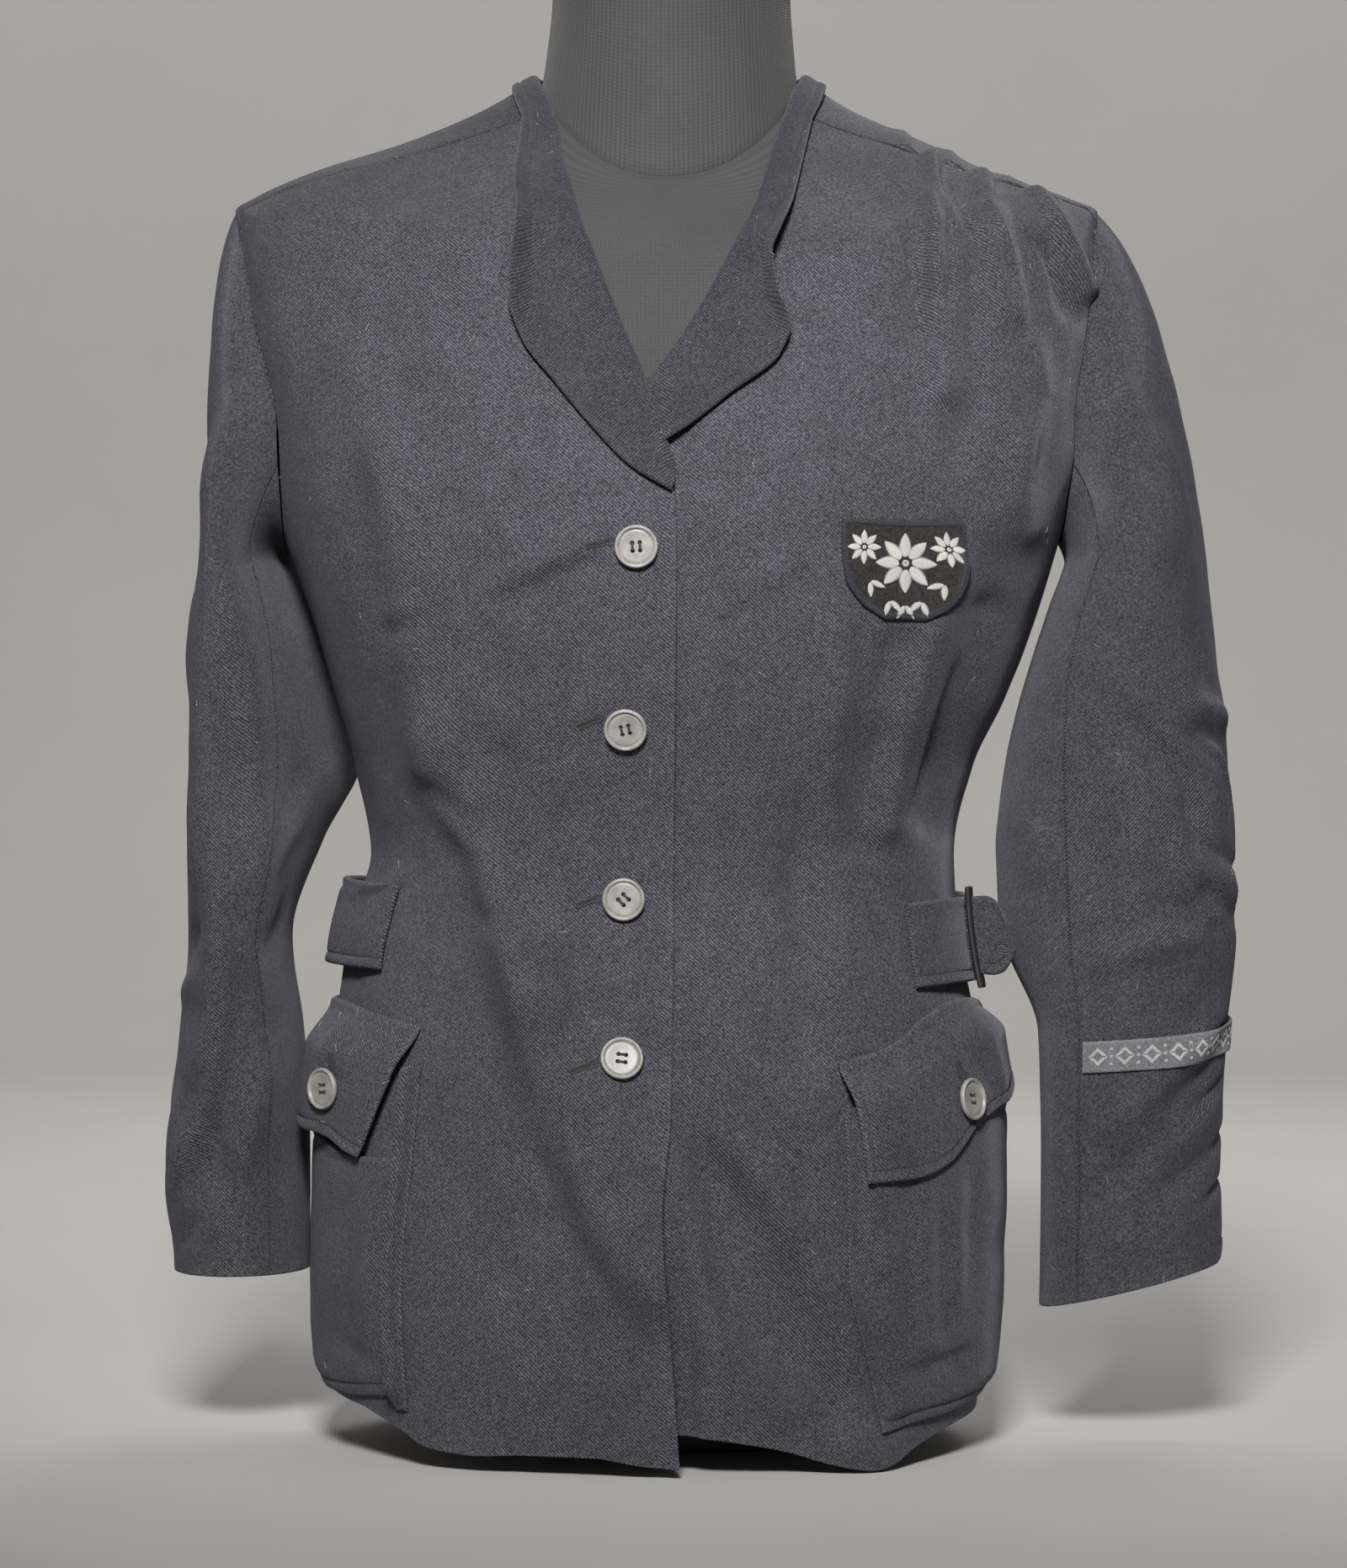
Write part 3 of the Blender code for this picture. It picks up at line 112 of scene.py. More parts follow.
# Creases and gathers as seen from the front: a line from (x0, z0) to (x1, z1), its half width and its height.
rightFrontFolds = table(foldColumns, [
    (-118, 622, -122, 596, 5, -2.2), (-60, 600, -110, 520, 16, 2), (-128, 470, -108, 330, 12, 3),
    (-100, 340, -60, 220, 15, 3.5), (-62, 235, -8, 90, 18, 5), (-30, 250, -60, 120, 14, -2.5),
    (-8, 120, 4, 30, 12, 2.5),
])
leftFrontFolds = table(foldColumns, [
    (107, 626, 104, 592, 5, -2.8), (116, 622, 119, 530, 6, -3), (126, 620, 128, 500, 6, 3),
    (140, 614, 142, 596, 5, -2.4), (152, 612, 162, 540, 7, 2.6), (166, 609, 194, 545, 6, -3),
    (176, 605, 203, 556, 6, 2.6), (150, 560, 168, 440, 10, 2.2), (132, 420, 105, 300, 9, 3),
    (152, 400, 128, 300, 8, -2.5), (112, 380, 92, 290, 8, -2), (62, 300, 66, 190, 14, -2), (2, 150, 70, 30, 20, -6),
    (20, 60, 96, 6, 16, 3),
])
# The same for the back, seen from behind with x as the front sees it.
backFolds = table(foldColumns, [
    (-60, 420, -52, 285, 12, 3), (60, 420, 54, 285, 12, 3), (-20, 400, -16, 285, 10, 2.5),
    (22, 400, 18, 285, 10, 2.5), (-100, 400, -92, 290, 12, 2.5), (102, 400, 92, 290, 12, 2.5),
    (-70, 215, -86, 40, 16, 4), (70, 215, 84, 40, 16, 4), (0, 215, 0, 60, 14, 3),
])

# Sleeve sections: front, outer, back and inner points at each height, with x measured outwards.
leftSleeve = table("z front_x front_y outer_x outer_y back_x back_y inner_x inner_y", [
    (76, 212, -33, 271.5, -4, 228, 32, 182, 0), (126, 211, -36, 270.5, -4, 226, 34, 182.5, 0),
    (198, 208, -40, 273.5, -6, 222, 40, 181, 2), (249, 216, -42, 277, -4, 213, 46, 164, 10),
    (290, 215, -44, 277, -2, 212, 50, 162, 14), (331, 207, -48, 274.5, 0, 214, 56, 167, 16),
    (385, 200, -58, 269, 2, 220, 64, 180.5, 14), (425, 206, -62, 265, 2, 222, 70, 194, 10),
])
rightSleeve = table("z front_x front_y outer_x outer_y back_x back_y inner_x inner_y", [
    (81, 206, -26, 240.5, 18, 206, 64, 174.5, 26), (126, 206, -28, 241.5, 18, 206, 66, 175, 26),
    (155, 206, -32, 242, 16, 205, 68, 175, 24), (200, 203, -38, 236.5, 8, 204, 68, 178, 20),
    (244, 201, -44, 232, 4, 200, 73, 183, 6), (290, 200, -50, 231, 6, 186, 80, 171, 24),
    (331, 203, -54, 228.5, 8, 170, 84, 154, 58), (385, 207, -60, 226, 4, 180, 84, 162, 54),
    (425, 208, -62, 223, 0, 190, 80, 180, 45),
])
sleeveHeights = {
    1: (425, 393, 360, 327, 294, 260, 226, 192, 155, 116, 76),
    -1: (425, 393, 360, 327, 294, 260, 226, 192, 155, 118, 81),
}
cuffSlant = {1: 0.24, -1: 0.0}  # rise of the cuff's edge for each unit outwards
# How the sleeve leaves the armhole: outwards and up at the shoulder point, its strength, and outwards in front.
capDirection = {1: (0.72, -0.70, 0.67, 0.7), -1: (0.5, -0.87, 0.5, 0.35)}

sleeveFolds = {
    1: table(foldColumns, [
        (218, 352, 248, 318, 6, -2.5), (248, 318, 254, 286, 6, -2.5), (228, 330, 222, 250, 10, 3),
        (236, 262, 268, 248, 7, -2.5), (200, 230, 250, 250, 8, 2.5), (205, 150, 262, 190, 8, 2.5),
        (200, 120, 250, 150, 8, -2),
    ]),
    -1: table(foldColumns, [
        (-208, 420, -196, 330, 8, 3.5), (-196, 330, -192, 250, 7, 3.5), (-232, 180, -210, 120, 9, -3),
        (-192, 190, -206, 130, 8, 3), (-222, 200, -236, 100, 8, 2),
    ]),
}

# Lapels as seen from the front: the roll line's x and z, then the outer edge's x and z, from the break up.
rightLapel = table("step roll_x roll_z edge_x edge_z stand", [
    (0, 4, 455, 3, 452, 3.2), (1, -1, 469, -15.3, 463, 3.4), (2, -5, 484, -34.6, 483, 3.6),
    (3, -9.5, 498, -51, 503, 4), (4, -19, 521, -66, 523, 5), (5, -29, 545, -71.7, 541, 8),
    (6, -37, 566, -71, 559, 9.5), (7, -43, 582, -69, 577, 7.5), (8, -48, 600, -70.5, 598, 5),
    (9, -52, 617, -69.5, 620, 4), (10, -55, 636, -68.5, 638, 3.6),
])
leftLapel = table("step roll_x roll_z edge_x edge_z stand", [
    (0, -2.2, 479.5, -1, 474.5, 3), (1, -5.5, 490, 11, 482.5, 3.4), (2, -7.5, 499, 19, 488, 3.6),
    (3, 0, 509, 30, 497, 3.8), (4, 13, 528, 52.6, 515, 4.4), (5, 23, 545, 57.7, 528, 6.5), (6, 31.4, 561, 52, 544, 9),
    (7, 38, 575, 49.5, 562, 10), (8, 45.5, 591, 58, 582, 7), (9, 51.5, 609, 63.5, 605, 4.5),
    (10, 58, 634, 70.5, 637, 3.6),
])
# Where the lapels go on over the shoulder seam, to the collar behind the neck.
lapelTop = table("angle roll edge", [(66, 655, 645.5), (76, 655, 647), (86, 655, 648)])
lapelStand = 0.9  # of the lapels and collar off the panels
collarWidth = 7.0  # of the narrow turn-back round the neck, in level steps

# Pocket bags and flaps: bottom and top height round the body, stand-off, and how far the top leans round.
leftPocket = table("angle bottom top lift lean", [
    (37.5, 18, 168, 0.9, -8.5), (38.7, 18, 168, 8, -8), (41, 19, 167, 8.5, -6.5), (45, 21, 166, 5.5, -4),
    (56, 23, 165, 4.4, 0), (70, 26, 165, 6, 0), (90, 29, 165, 7, 0), (103, 29, 165, 5, 0), (105, 29, 165, 0.9, 0),
])
rightPocket = table("angle bottom top lift lean", [
    (43.5, 27, 187, 0.9, 1.2), (44.3, 27, 187, 8.5, 1.2), (46, 27, 185, 9, 1), (47.6, 33, 144, 3.2, 0),
    (60, 31, 143, 3.4, 0), (75, 30, 147, 4.2, 0), (90, 34, 153, 5, 0), (110, 34, 153, 4.2, 0), (112, 34, 153, 0.9, 0),
])
leftFlap = table("angle bottom top least lift lean", [
    (31, 133, 189, 11.4, 12, -2.5), (35, 133.5, 191.5, 11.4, 12, -1.5), (42, 134.5, 197, 9.5, 10, 0),
    (51, 140, 208, 7, 9, 0), (62.5, 157, 215, 6.8, 12, 0), (72, 163, 216, 8, 12, 0), (86, 173, 214, 9, 11, 0),
    (98, 178, 212, 8.5, 9, 0),
])
rightFlap = table("angle bottom top least lift lean", [
    (58, 142.5, 205, 6.5, 9, -12.5), (61, 143.5, 207, 6.5, 10, -11), (67, 147, 210, 6.5, 13, -8),
    (76, 152, 213, 7, 14.5, -5), (84, 153, 215, 7.5, 13, -2), (93, 154, 215, 8, 10, 0), (104, 158, 214, 7.5, 8.5, 0),
    (112, 159, 212, 7.5, 8, 0),
])
# The flaps hang flat where they face forwards: x and y of a point of each one's plane, and its turn.
leftFlapPlane = (147, -56, 48)
rightFlapPlane = (-140, -73, -48)

# The belt: a long piece from the wearer's right round the back, and a short strap on the wearer's left.
beltPieces = {
    "belt_strap_left": table("angle low high lift", [
        (51, 222, 262, 1.2), (58, 222.5, 263, 2.6), (66, 223, 264, 3.4), (75, 223, 264, 4.2),
    ]),
    "belt_long": table("angle low high lift", [
        (77, 223, 264, 4.4), (92, 224, 265, 5.4), (122, 226, 266, 5), (150, 228, 268, 5), (180, 229, 269, 5),
        (210, 230, 270, 5), (238, 231, 271, 5.2), (262, 231, 271, 6.8), (274, 231, 271, 7), (286, 231, 271, 4.4),
        (295, 231, 271, 2.6), (299, 231, 271, 1.2),
    ]),
}
beltKeeper = {"angle": 76.0, "low": 219.0, "high": 269.0, "lift": 5.3}
beltTab = table("along half_height", [(0, 18.5), (6, 19), (11, 17.5), (15, 12), (17.5, 6.5)])
beltTabLevel = 246.0

patchOutline = table("z left right", [
    (440.5, 81, 138.5), (428, 80.5, 139), (414, 82, 138), (402, 90, 129), (394.5, 101, 118),
])
cuffBand = table("step z", [(-1.8, 187.5), (0, 189), (2, 191), (4, 194), (6, 197), (8, 199), (11.8, 198)])
cuffBandHeight = 15.0

frontButtons = table("x z", [(-13, 427), (-18, 344), (-19, 265), (-20, 191.5)])
pocketButtons = {"button_pocket_right": (-1, 161.5, 173.5), "button_pocket_left": (1, 143, 170)}


# Smaller folds than the solids hold, in the same columns. They fade out at both ends.
frontWrinkles = table(foldColumns, [
    (-121, 623, -125, 594, 2.4, 1.5), (-113.5, 622, -117.5, 594, 2.2, 1.1), (-101, 553, -140, 494, 11, -1.9),
    (-84, 286, -56, 160, 9, 1.9), (-58, 164, -16, 84, 8, 2.4), (-40, 162, 0, 78, 7, -1.9),
    (-16, 158, -10, 138, 3, -0.9), (102.5, 614, 105, 586, 2.2, 1), (110.5, 613, 112, 584, 2.4, 1.3),
    (120, 606, 127, 580, 2.5, 1.7), (130, 603, 138, 578, 2.5, 1.9), (127, 582, 127.5, 546, 3, 1.2),
    (137.5, 580, 137, 532, 3.2, 1.5), (142.5, 596, 153, 568, 2.5, 1.5), (152.5, 590, 163, 566, 2.6, 1.7),
    (153, 569, 156, 538, 3.2, 1), (163, 566, 166, 532, 3.2, 1.3), (173, 582, 186, 552, 2.6, 1.2),
    (182, 579, 194, 550, 2.6, 1.3), (132, 578, 132, 540, 2.2, -1.4), (158, 566, 161, 540, 2.4, -1.2),
    (79, 430, 76, 300, 8, 0.9), (94, 420, 88, 296, 6, -1.1), (104, 388, 97, 352, 4, -0.9),
    (112, 388, 104, 340, 4.5, 0.9), (122, 380, 108, 292, 5, -1.1), (64, 300, 60, 236, 8, -0.8),
    (129, 553, 126, 505, 4.6, -1.5), (133, 562, 136, 489, 5, 1.5), (-130, 388, -108, 396, 5, -0.8),
    (-128, 396, -112, 401, 5, 0.6), (-84, 408, -30, 432, 5, 1.3), (-78, 400, -28, 421, 5, -0.9),
    (-106, 320, -76, 293, 5, -1), (-112, 312, -84, 286, 6, 1.2), (-96, 372, -60, 330, 8, 1.2),
    (-150, 520, -120, 440, 9, 1.4), (-74, 470, -38, 452, 7, 0.8), (-92, 262, -70, 246, 6, -1),
    (-88, 150, -58, 100, 9, 1.1), (-48, 128, -30, 60, 7, -1), (-84, 94, -66, 26, 8, 1.3), (-56, 60, -46, 12, 7, -1.1),
    (-24, 56, -14, 10, 6, 1.1), (101, 623, 100, 604, 2.6, -1.6), (113, 620, 112, 598, 2.8, 1.6),
    (121, 616, 122, 600, 2.2, -1.5), (134, 611, 134, 592, 2.8, -1.5), (147, 607, 148, 590, 2.6, 1.4),
    (158, 604, 159, 590, 2.4, -1.3), (92, 588, 88, 540, 8, 1), (172, 532, 176, 500, 7, 2),
    (176, 500, 163, 462, 7, 1.8), (163, 462, 148, 430, 8, 1.3), (140, 500, 134, 460, 7, -1.2),
    (120, 388, 108, 330, 5, 1.6), (138, 372, 116, 300, 5, -1.5), (84, 372, 76, 320, 7, 1), (60, 420, 30, 404, 7, 0.8),
    (46, 300, 60, 240, 9, 1.1), (84, 214, 60, 150, 10, 1), (30, 120, 74, 44, 9, 1.6), (52, 150, 92, 88, 7, -1.2),
    (98, 64, 104, 14, 8, -1.5), (62, 48, 70, 8, 6, 1.2),
])
backWrinkles = table(foldColumns, [
    (-40, 604, -52, 560, 9, 1.2), (44, 602, 58, 556, 9, 1.2), (-120, 500, -86, 430, 10, 1.4),
    (124, 498, 88, 432, 10, 1.4), (-74, 384, -66, 292, 6, -1.6), (76, 382, 66, 292, 6, -1.6),
    (-38, 372, -34, 288, 7, -1.4), (40, 374, 36, 290, 7, -1.4), (0, 384, 1, 292, 7, 1.4),
    (-116, 366, -104, 296, 6, 1.5), (118, 368, 106, 296, 6, 1.5), (-112, 206, -126, 60, 11, 1.8),
    (112, 206, 128, 62, 11, 1.8), (-34, 208, -40, 40, 10, -1.8), (36, 208, 42, 44, 10, -1.8),
    (-96, 216, -100, 150, 6, -1.4), (98, 216, 102, 150, 6, -1.4), (-14, 216, -16, 130, 6, 1.2),
    (16, 216, 18, 130, 6, 1.2),
])
yokeWrinkles = table(foldColumns, [
    (114, 640, 116, 612, 4.5, 2.4), (125, 640, 127, 608, 4, -1.6), (137, 634, 139, 604, 4.5, 2.2),
    (150, 630, 152, 600, 4.5, -1.2), (166, 622, 168, 594, 5, 1.4), (-110, 636, -112, 610, 7, 0.9),
    (-140, 630, -142, 600, 7, -0.9),
])
pocketWrinkles = {
    1: table(foldColumns, [
        (112, 126, 113, 68, 4, -1.5), (120, 132, 122, 74, 5, 1.4), (129, 120, 132, 56, 4, -1.7),
        (138, 136, 136, 60, 6, 1.6), (146, 138, 142, 80, 4, -1.4), (108, 44, 148, 51, 4, -2),
        (106, 52, 146, 60, 5, 1.4), (104, 118, 96, 104, 3, -1.4), (106, 96, 98, 84, 3, -1.4),
        (102, 74, 96, 60, 3, 1.4),
    ]),
    -1: table(foldColumns, [
        (-150, 130, -148, 60, 5, -1.4), (-138, 128, -140, 50, 5, 1.5), (-160, 60, -136, 46, 4, -1.5),
        (-132, 110, -136, 84, 3, -1.2),
    ]),
}
# Lines where a front turns: from each one the cloth falls away towards the wearer's right. The fall is deepest, by a
# depth, at a reach from the line, and the line itself stands up by a rise.
drapes = [
    table("x z depth reach rise", [
        (-128, 412, 0, 20, 0), (-124, 385, 0.6, 30, 0.3), (-108, 324, 2.2, 38, 0.8), (-83, 295, 5, 46, 1.8),
        (-72, 244, 7.6, 52, 2.4), (-58, 186, 8.6, 52, 2.8), (-32, 133, 7.6, 44, 3), (-6, 82, 4.4, 30, 1.8),
        (4, 62, 0, 20, 0),
    ]),
    table("x z depth reach rise", [
        (8, 176, 0, 12, 0), (24, 158, 4.4, 14, 1.8), (51, 127, 6.6, 16, 2.6), (70, 88, 5.8, 16, 2.4),
        (83, 53, 3.2, 14, 1.2), (90, 36, 0, 12, 0),
    ]),
]
# The same on the sleeves, unrolled: mm round the sleeve from its foremost line, outwards over the arm, and height.
sleeveWrinkles = {
    1: table("s0 z0 s1 z1 width height", [
        (31, 344, 61, 327, 2.8, -1.3), (61, 327, 68, 306, 2.8, -1.3), (31, 291, 61, 282, 2.6, -1.2),
        (61, 282, 94, 271, 2.6, -1.2), (64, 268, 82, 238, 3, -1.4), (82, 238, 93, 228, 3, -1.1),
        (40, 268, 49, 229, 3, -1), (34, 161, 67, 178, 2.8, -1.2), (49, 139, 91, 161, 2.8, -1.3),
        (43, 116, 79, 131, 2.8, -1.1), (55, 94, 103, 111, 3, -1.3), (61, 85, 100, 88, 2.6, -1),
        (52, 96, 99, 103, 3.4, 0.9), (43, 409, 55, 353, 5, -1), (40, 346, 72, 338, 5, -2),
        (72, 338, 88, 300, 6, -1.6), (38, 358, 78, 350, 6, 1.6), (22, 318, 30, 262, 7, 1.8),
        (34, 270, 66, 252, 5, -1.6), (30, 280, 70, 264, 6, 1.4), (10, 236, 56, 262, 8, 1.6),
        (8, 176, 60, 214, 7, 1.6), (14, 162, 62, 196, 6, -1.4), (6, 132, 54, 164, 6, 1.3),
        (10, 116, 50, 142, 6, -1.2), (20, 520, 34, 440, 10, 1.4), (48, 500, 60, 420, 10, -1.2),
        (96, 330, 128, 310, 8, 2), (92, 300, 130, 290, 8, -1.8), (96, 274, 126, 262, 8, 1.8),
        (104, 200, 120, 120, 9, 1.5), (112, 420, 120, 350, 10, 1.5), (-70, 330, -34, 316, 7, -1.8),
        (-72, 306, -36, 290, 7, 1.8), (-64, 270, -30, 262, 7, -1.5), (-40, 200, -30, 110, 8, 1.3),
    ]),
    -1: table("s0 z0 s1 z1 width height", [
        (8, 330, 26, 262, 7, 1.6), (20, 250, 48, 236, 6, -1.4), (16, 226, 50, 216, 7, 1.3),
        (-2, 172, 26, 116, 7, -2.2), (10, 170, 34, 120, 7, 1.6), (30, 176, 50, 100, 8, 1.4),
        (14, 110, 40, 92, 6, -1.2), (10, 520, 22, 450, 9, 1.3), (40, 500, 52, 420, 10, -1.2),
        (30, 410, 44, 360, 9, 1.2), (92, 330, 124, 312, 8, 2), (90, 300, 124, 288, 8, -1.8),
        (94, 272, 122, 262, 8, 1.8), (100, 200, 116, 120, 9, 1.5), (-60, 330, -14, 296, 7, -1.3),
        (-60, 304, -10, 272, 7, 1.5), (-44, 262, -6, 214, 7, -1.2), (-6, 410, 6, 300, 8, -1.2),
        (6, 300, 12, 180, 8, 1.3), (-8, 270, 2, 150, 7, -1.2),
    ]),
}


# Reading the tables.


def read(rows, key, name, at):
    # A smooth curve through a column's values that never overshoots.
    xs, ys = rows[key], rows[name]
    if xs[0] > xs[-1]:
        xs, ys = xs[::-1], ys[::-1]
    run = np.diff(xs)
    slope = np.diff(ys) / run
    tangent = np.zeros(len(xs))
    product = slope[:-1] * slope[1:]
    safe = np.where(product > 0, slope[:-1] + slope[1:], 1.0)
    tangent[1:-1] = np.where(product > 0, 2 * product / safe, 0.0)
    tangent[0], tangent[-1] = slope[0], slope[-1]
    at = np.clip(np.asarray(at, float), xs[0], xs[-1])
    i = np.clip(np.searchsorted(xs, at, side="right") - 1, 0, len(run) - 1)
    t = (at - xs[i]) / run[i]
    bend = t * (1 - t)
    curve = run[i] * (tangent[i] * bend * (1 - t) - tangent[i + 1] * bend * t)
    return ys[i] + (ys[i + 1] - ys[i]) * t * t * (3 - 2 * t) + curve


def atColumn(values, at):
    # Values of a column at fractional row numbers.
    return np.interp(at, np.arange(len(values)), values)


def ease(value, low, high):
    t = np.clip((np.asarray(value, float) - low) / (high - low), 0, 1)
    return t * t * (3 - 2 * t)


def unit(vectors):
    return vectors / np.maximum(np.linalg.norm(vectors, axis=-1, keepdims=True), 1e-12)


def softNoise(points, size, seed):
    # Smooth noise from -1 to 1, with lumps about as wide as size.
    lattice = np.random.default_rng(seed).uniform(-1, 1, (64, 64, 64))
    cell = points / size + 20.0
    base = np.floor(cell).astype(int)
    t = cell - base
    t = ease(t, 0, 1)
    total = 0.0
    for corner in np.ndindex(2, 2, 2):
        share = np.prod(np.where(np.array(corner) == 1, t, 1 - t), -1)
        spot = (base + corner) % 64
        total = total + share * lattice[spot[..., 0], spot[..., 1], spot[..., 2]]
    return total


# The body's surface.


def ringPoint(rings, angle, level):
    angle, level = np.broadcast_arrays(np.radians(angle), np.asarray(level, float))
    sine, cosine = np.sin(angle), np.cos(angle)
    power = 2 / read(rings, "level", "fullness", level)
    half = np.where(sine >= 0, read(rings, "level", "right", level), read(rings, "level", "left", level))
    sideY = read(rings, "level", "side_y", level)
    sideZ = read(rings, "level", "side_z", level)
    facing = cosine >= 0
    endY = np.where(facing, read(rings, "level", "front_y", level), read(rings, "level", "back_y", level))
    endZ = np.where(facing, read(rings, "level", "front_z", level), read(rings, "level", "back_z", level))
    x = np.sign(sine) * half * np.abs(sine) ** power
    y = sideY + (endY - sideY) * np.abs(cosine) ** power
    z = sideZ + (endZ - sideZ) * np.abs(cosine) ** 1.5
    return np.stack([x, y, z], -1) * mm


def bodyPoint(angle, level):
    return ringPoint(bodyRings, angle, level)


def raised(points, normals, lift):
    return points + normals * (lift * mm)[..., None]


def bodyNormal(angle, level):
    turn, rise = 0.6, 1.5
    level = np.minimum(level, neckLevel - rise)
    across = bodyPoint(angle + turn, level) - bodyPoint(angle - turn, level)
    up = bodyPoint(angle, level + rise) - bodyPoint(angle, level - rise)
    return unit(np.cross(across, up))


def frontAngle(x, level):
    right, left = read(bodyRings, "level", "right", level), read(bodyRings, "level", "left", level)
    share = np.clip(np.abs(x) / np.where(x >= 0, right, left), 0, 1)
    share = share ** (read(bodyRings, "level", "fullness", level) / 2)
    return np.sign(x) * np.degrees(np.arcsin(share))


def onFront(x, z):
    # The angle and level of what the front shows at x and z.
    x, z = np.broadcast_arrays(np.asarray(x, float), np.asarray(z, float))
    low, high = np.full(x.shape, -10.0), np.full(x.shape, neckLevel)
    for _ in range(30):
        level = (low + high) / 2
        above = bodyPoint(frontAngle(x, level), level)[..., 2] / mm > z
        low, high = np.where(above, low, level), np.where(above, level, high)
    return np.stack([frontAngle(x, level), level], -1)


def foldLift(folds, x, z, fade=False):
    # How far a table's folds raise a cloth, in millimetres.
    lift = np.zeros(np.broadcast(x, z).shape)
    for x0, z0, x1, z1, width, height in zip(*folds.values()):
        run = np.array([x1 - x0, z1 - z0])
        along = ((x - x0) * run[0] + (z - z0) * run[1]) / (run @ run)
        nearest = np.clip(along, 0, 1)
        away = np.hypot(x - x0 - nearest * run[0], z - z0 - nearest * run[1])
        part = height * np.exp(-((away / width) ** 2))
        if fade:
            part = part * (0.25 + 0.75 * np.sin(np.pi * nearest) ** 0.7)
        lift = lift + part
    return lift


drapeLook = dict(bend=2.4, ridge=7.0)


def drapeLift(x, z):
    total = np.zeros(np.broadcast(x, z).shape)
    for rows in drapes:
        nearest, signed, along = np.full(total.shape, 1e9), np.zeros(total.shape), np.zeros(total.shape)
        for i in range(len(rows["x"]) - 1):
            start = np.array([rows["x"][i], rows["z"][i]])
            run = np.array([rows["x"][i + 1], rows["z"][i + 1]]) - start
            share = np.clip(((x - start[0]) * run[0] + (z - start[1]) * run[1]) / (run @ run), 0, 1)
            dx, dz = x - start[0] - share * run[0], z - start[1] - share * run[1]
            away = np.hypot(dx, dz)
            closer = away < nearest
            side = (dx * run[1] - dz * run[0]) / np.linalg.norm(run)
            nearest = np.where(closer, away, nearest)
            signed = np.where(closer, side, signed)
            along = np.where(closer, i + share, along)
        depth, reach, rise = [atColumn(rows[name], along) for name in ("depth", "reach", "rise")]
        fall = drapeLook["bend"] * np.logaddexp(0, signed / drapeLook["bend"]) / reach
        total = total - depth * fall * np.exp((1 - fall**2) / 2)
        total = total + rise * np.exp(-((signed / drapeLook["ridge"]) ** 2))
    return total


def armhole(side, steps):
    turn = np.radians(np.asarray(steps, float) * 360 / armholeSteps)
    middle, half = (shoulderLevel + armpitLevel) / 2, (shoulderLevel - armpitLevel) / 2
    return np.stack([side * (90 - armholeSpread[side] * np.cos(turn)), middle + half * np.sin(turn)], -1)


def belowYoke(angle, level):
    arm = armhole(1, yokeFrontStep)
    along = (np.abs(angle) - yokeNeckAngle) / (arm[0] - yokeNeckAngle)
    return neckLevel + (arm[1] - neckLevel) * along - level


def creases(angle, level):
    # The solids' own folds, which fade out at the side and yoke seams.
    angle = (np.asarray(angle, float) + 90) % 360 - 90
    points = bodyPoint(angle, level) / mm
    x, z = points[..., 0], points[..., 2]
    calm = ease(belowYoke(angle, level), 0, 7)
    right = foldLift(rightFrontFolds, x, z) * ease(90 + angle, 2, 20) * calm
    right = np.where(x > -42, np.maximum(right, -0.3), right)
    left = foldLift(leftFrontFolds, x, z) * ease(x, 8, 30) * ease(90 - angle, 2, 16) * calm
    rear = foldLift(backFolds, x, z) * ease(angle - 90, 2, 22) * ease(270 - angle, 2, 22)
    return foldStrength * np.where(angle > 90, rear, np.where(x < 8, right, left))


def bodyLift(angle, level):
    # All that raises the body's cloth: the solids' folds, the smaller ones and its unevenness.
    angle = (np.asarray(angle, float) + 90) % 360 - 90
    place = bodyPoint(angle, level) / mm
    x, z = place[..., 0], place[..., 2]
    calm = ease(belowYoke(angle, level), 0, 3)
    small = foldLift(frontWrinkles, x, z, True) * ease(90 - np.abs(angle), 2, 16) * calm
    small = small * np.where(x > -30, ease(np.abs(x - 2), 6, 26), 1.0)
    rear = foldLift(backWrinkles, x, z, True) * ease(angle - 90, 2, 16) * ease(270 - angle, 2, 16)
    small = np.where(angle > 90, rear, small)
    uneven = 0.6 * softNoise(place, 48, 3) + 0.36 * softNoise(place, 19, 5)
    turned = drapeLift(x, z) * ease(90 - np.abs(angle), 2, 16) * (angle < 90)
    # Over the form's shoulders the cloth only rises.
    least = -0.15 - 12 * (1 - ease(z, 545, 585))
    return np.maximum(creases(angle, level) + wrinkleStrength * small + uneven + turned, least)


# Straight grain: lengths round the body from the front centre, and up it, in millimetres.
grainTurn, grainRise = 2.0, 5.0
grainAngles, grainLevels = np.arange(-116.0, 305.0, grainTurn), np.arange(-10.0, 656.0, grainRise)
grainPoints = bodyPoint(grainAngles[None], grainLevels[:, None]) / mm
grainRound = np.pad(np.linalg.norm(np.diff(grainPoints, axis=1), axis=2).cumsum(1), ((0, 0), (1, 0)))
frontColumn = int(np.argmin(np.abs(grainAngles)))
grainRound = grainRound - grainRound[:, frontColumn : frontColumn + 1]
grainUp = np.pad(np.linalg.norm(np.diff(grainPoints, axis=0), axis=2).cumsum(0), ((1, 0), (0, 0)))


def between(grid, column, row):
    # What a grid holds at fractional columns and rows.
    c, r = np.clip(column.astype(int), 0, grid.shape[1] - 2), np.clip(row.astype(int), 0, grid.shape[0] - 2)
    a, b = column - c, row - r
    if grid.ndim > 2:
        a, b = a[..., None], b[..., None]
    low, high = [grid[k, c] * (1 - a) + grid[k, c + 1] * a for k in (r, r + 1)]
    return low * (1 - b) + high * b


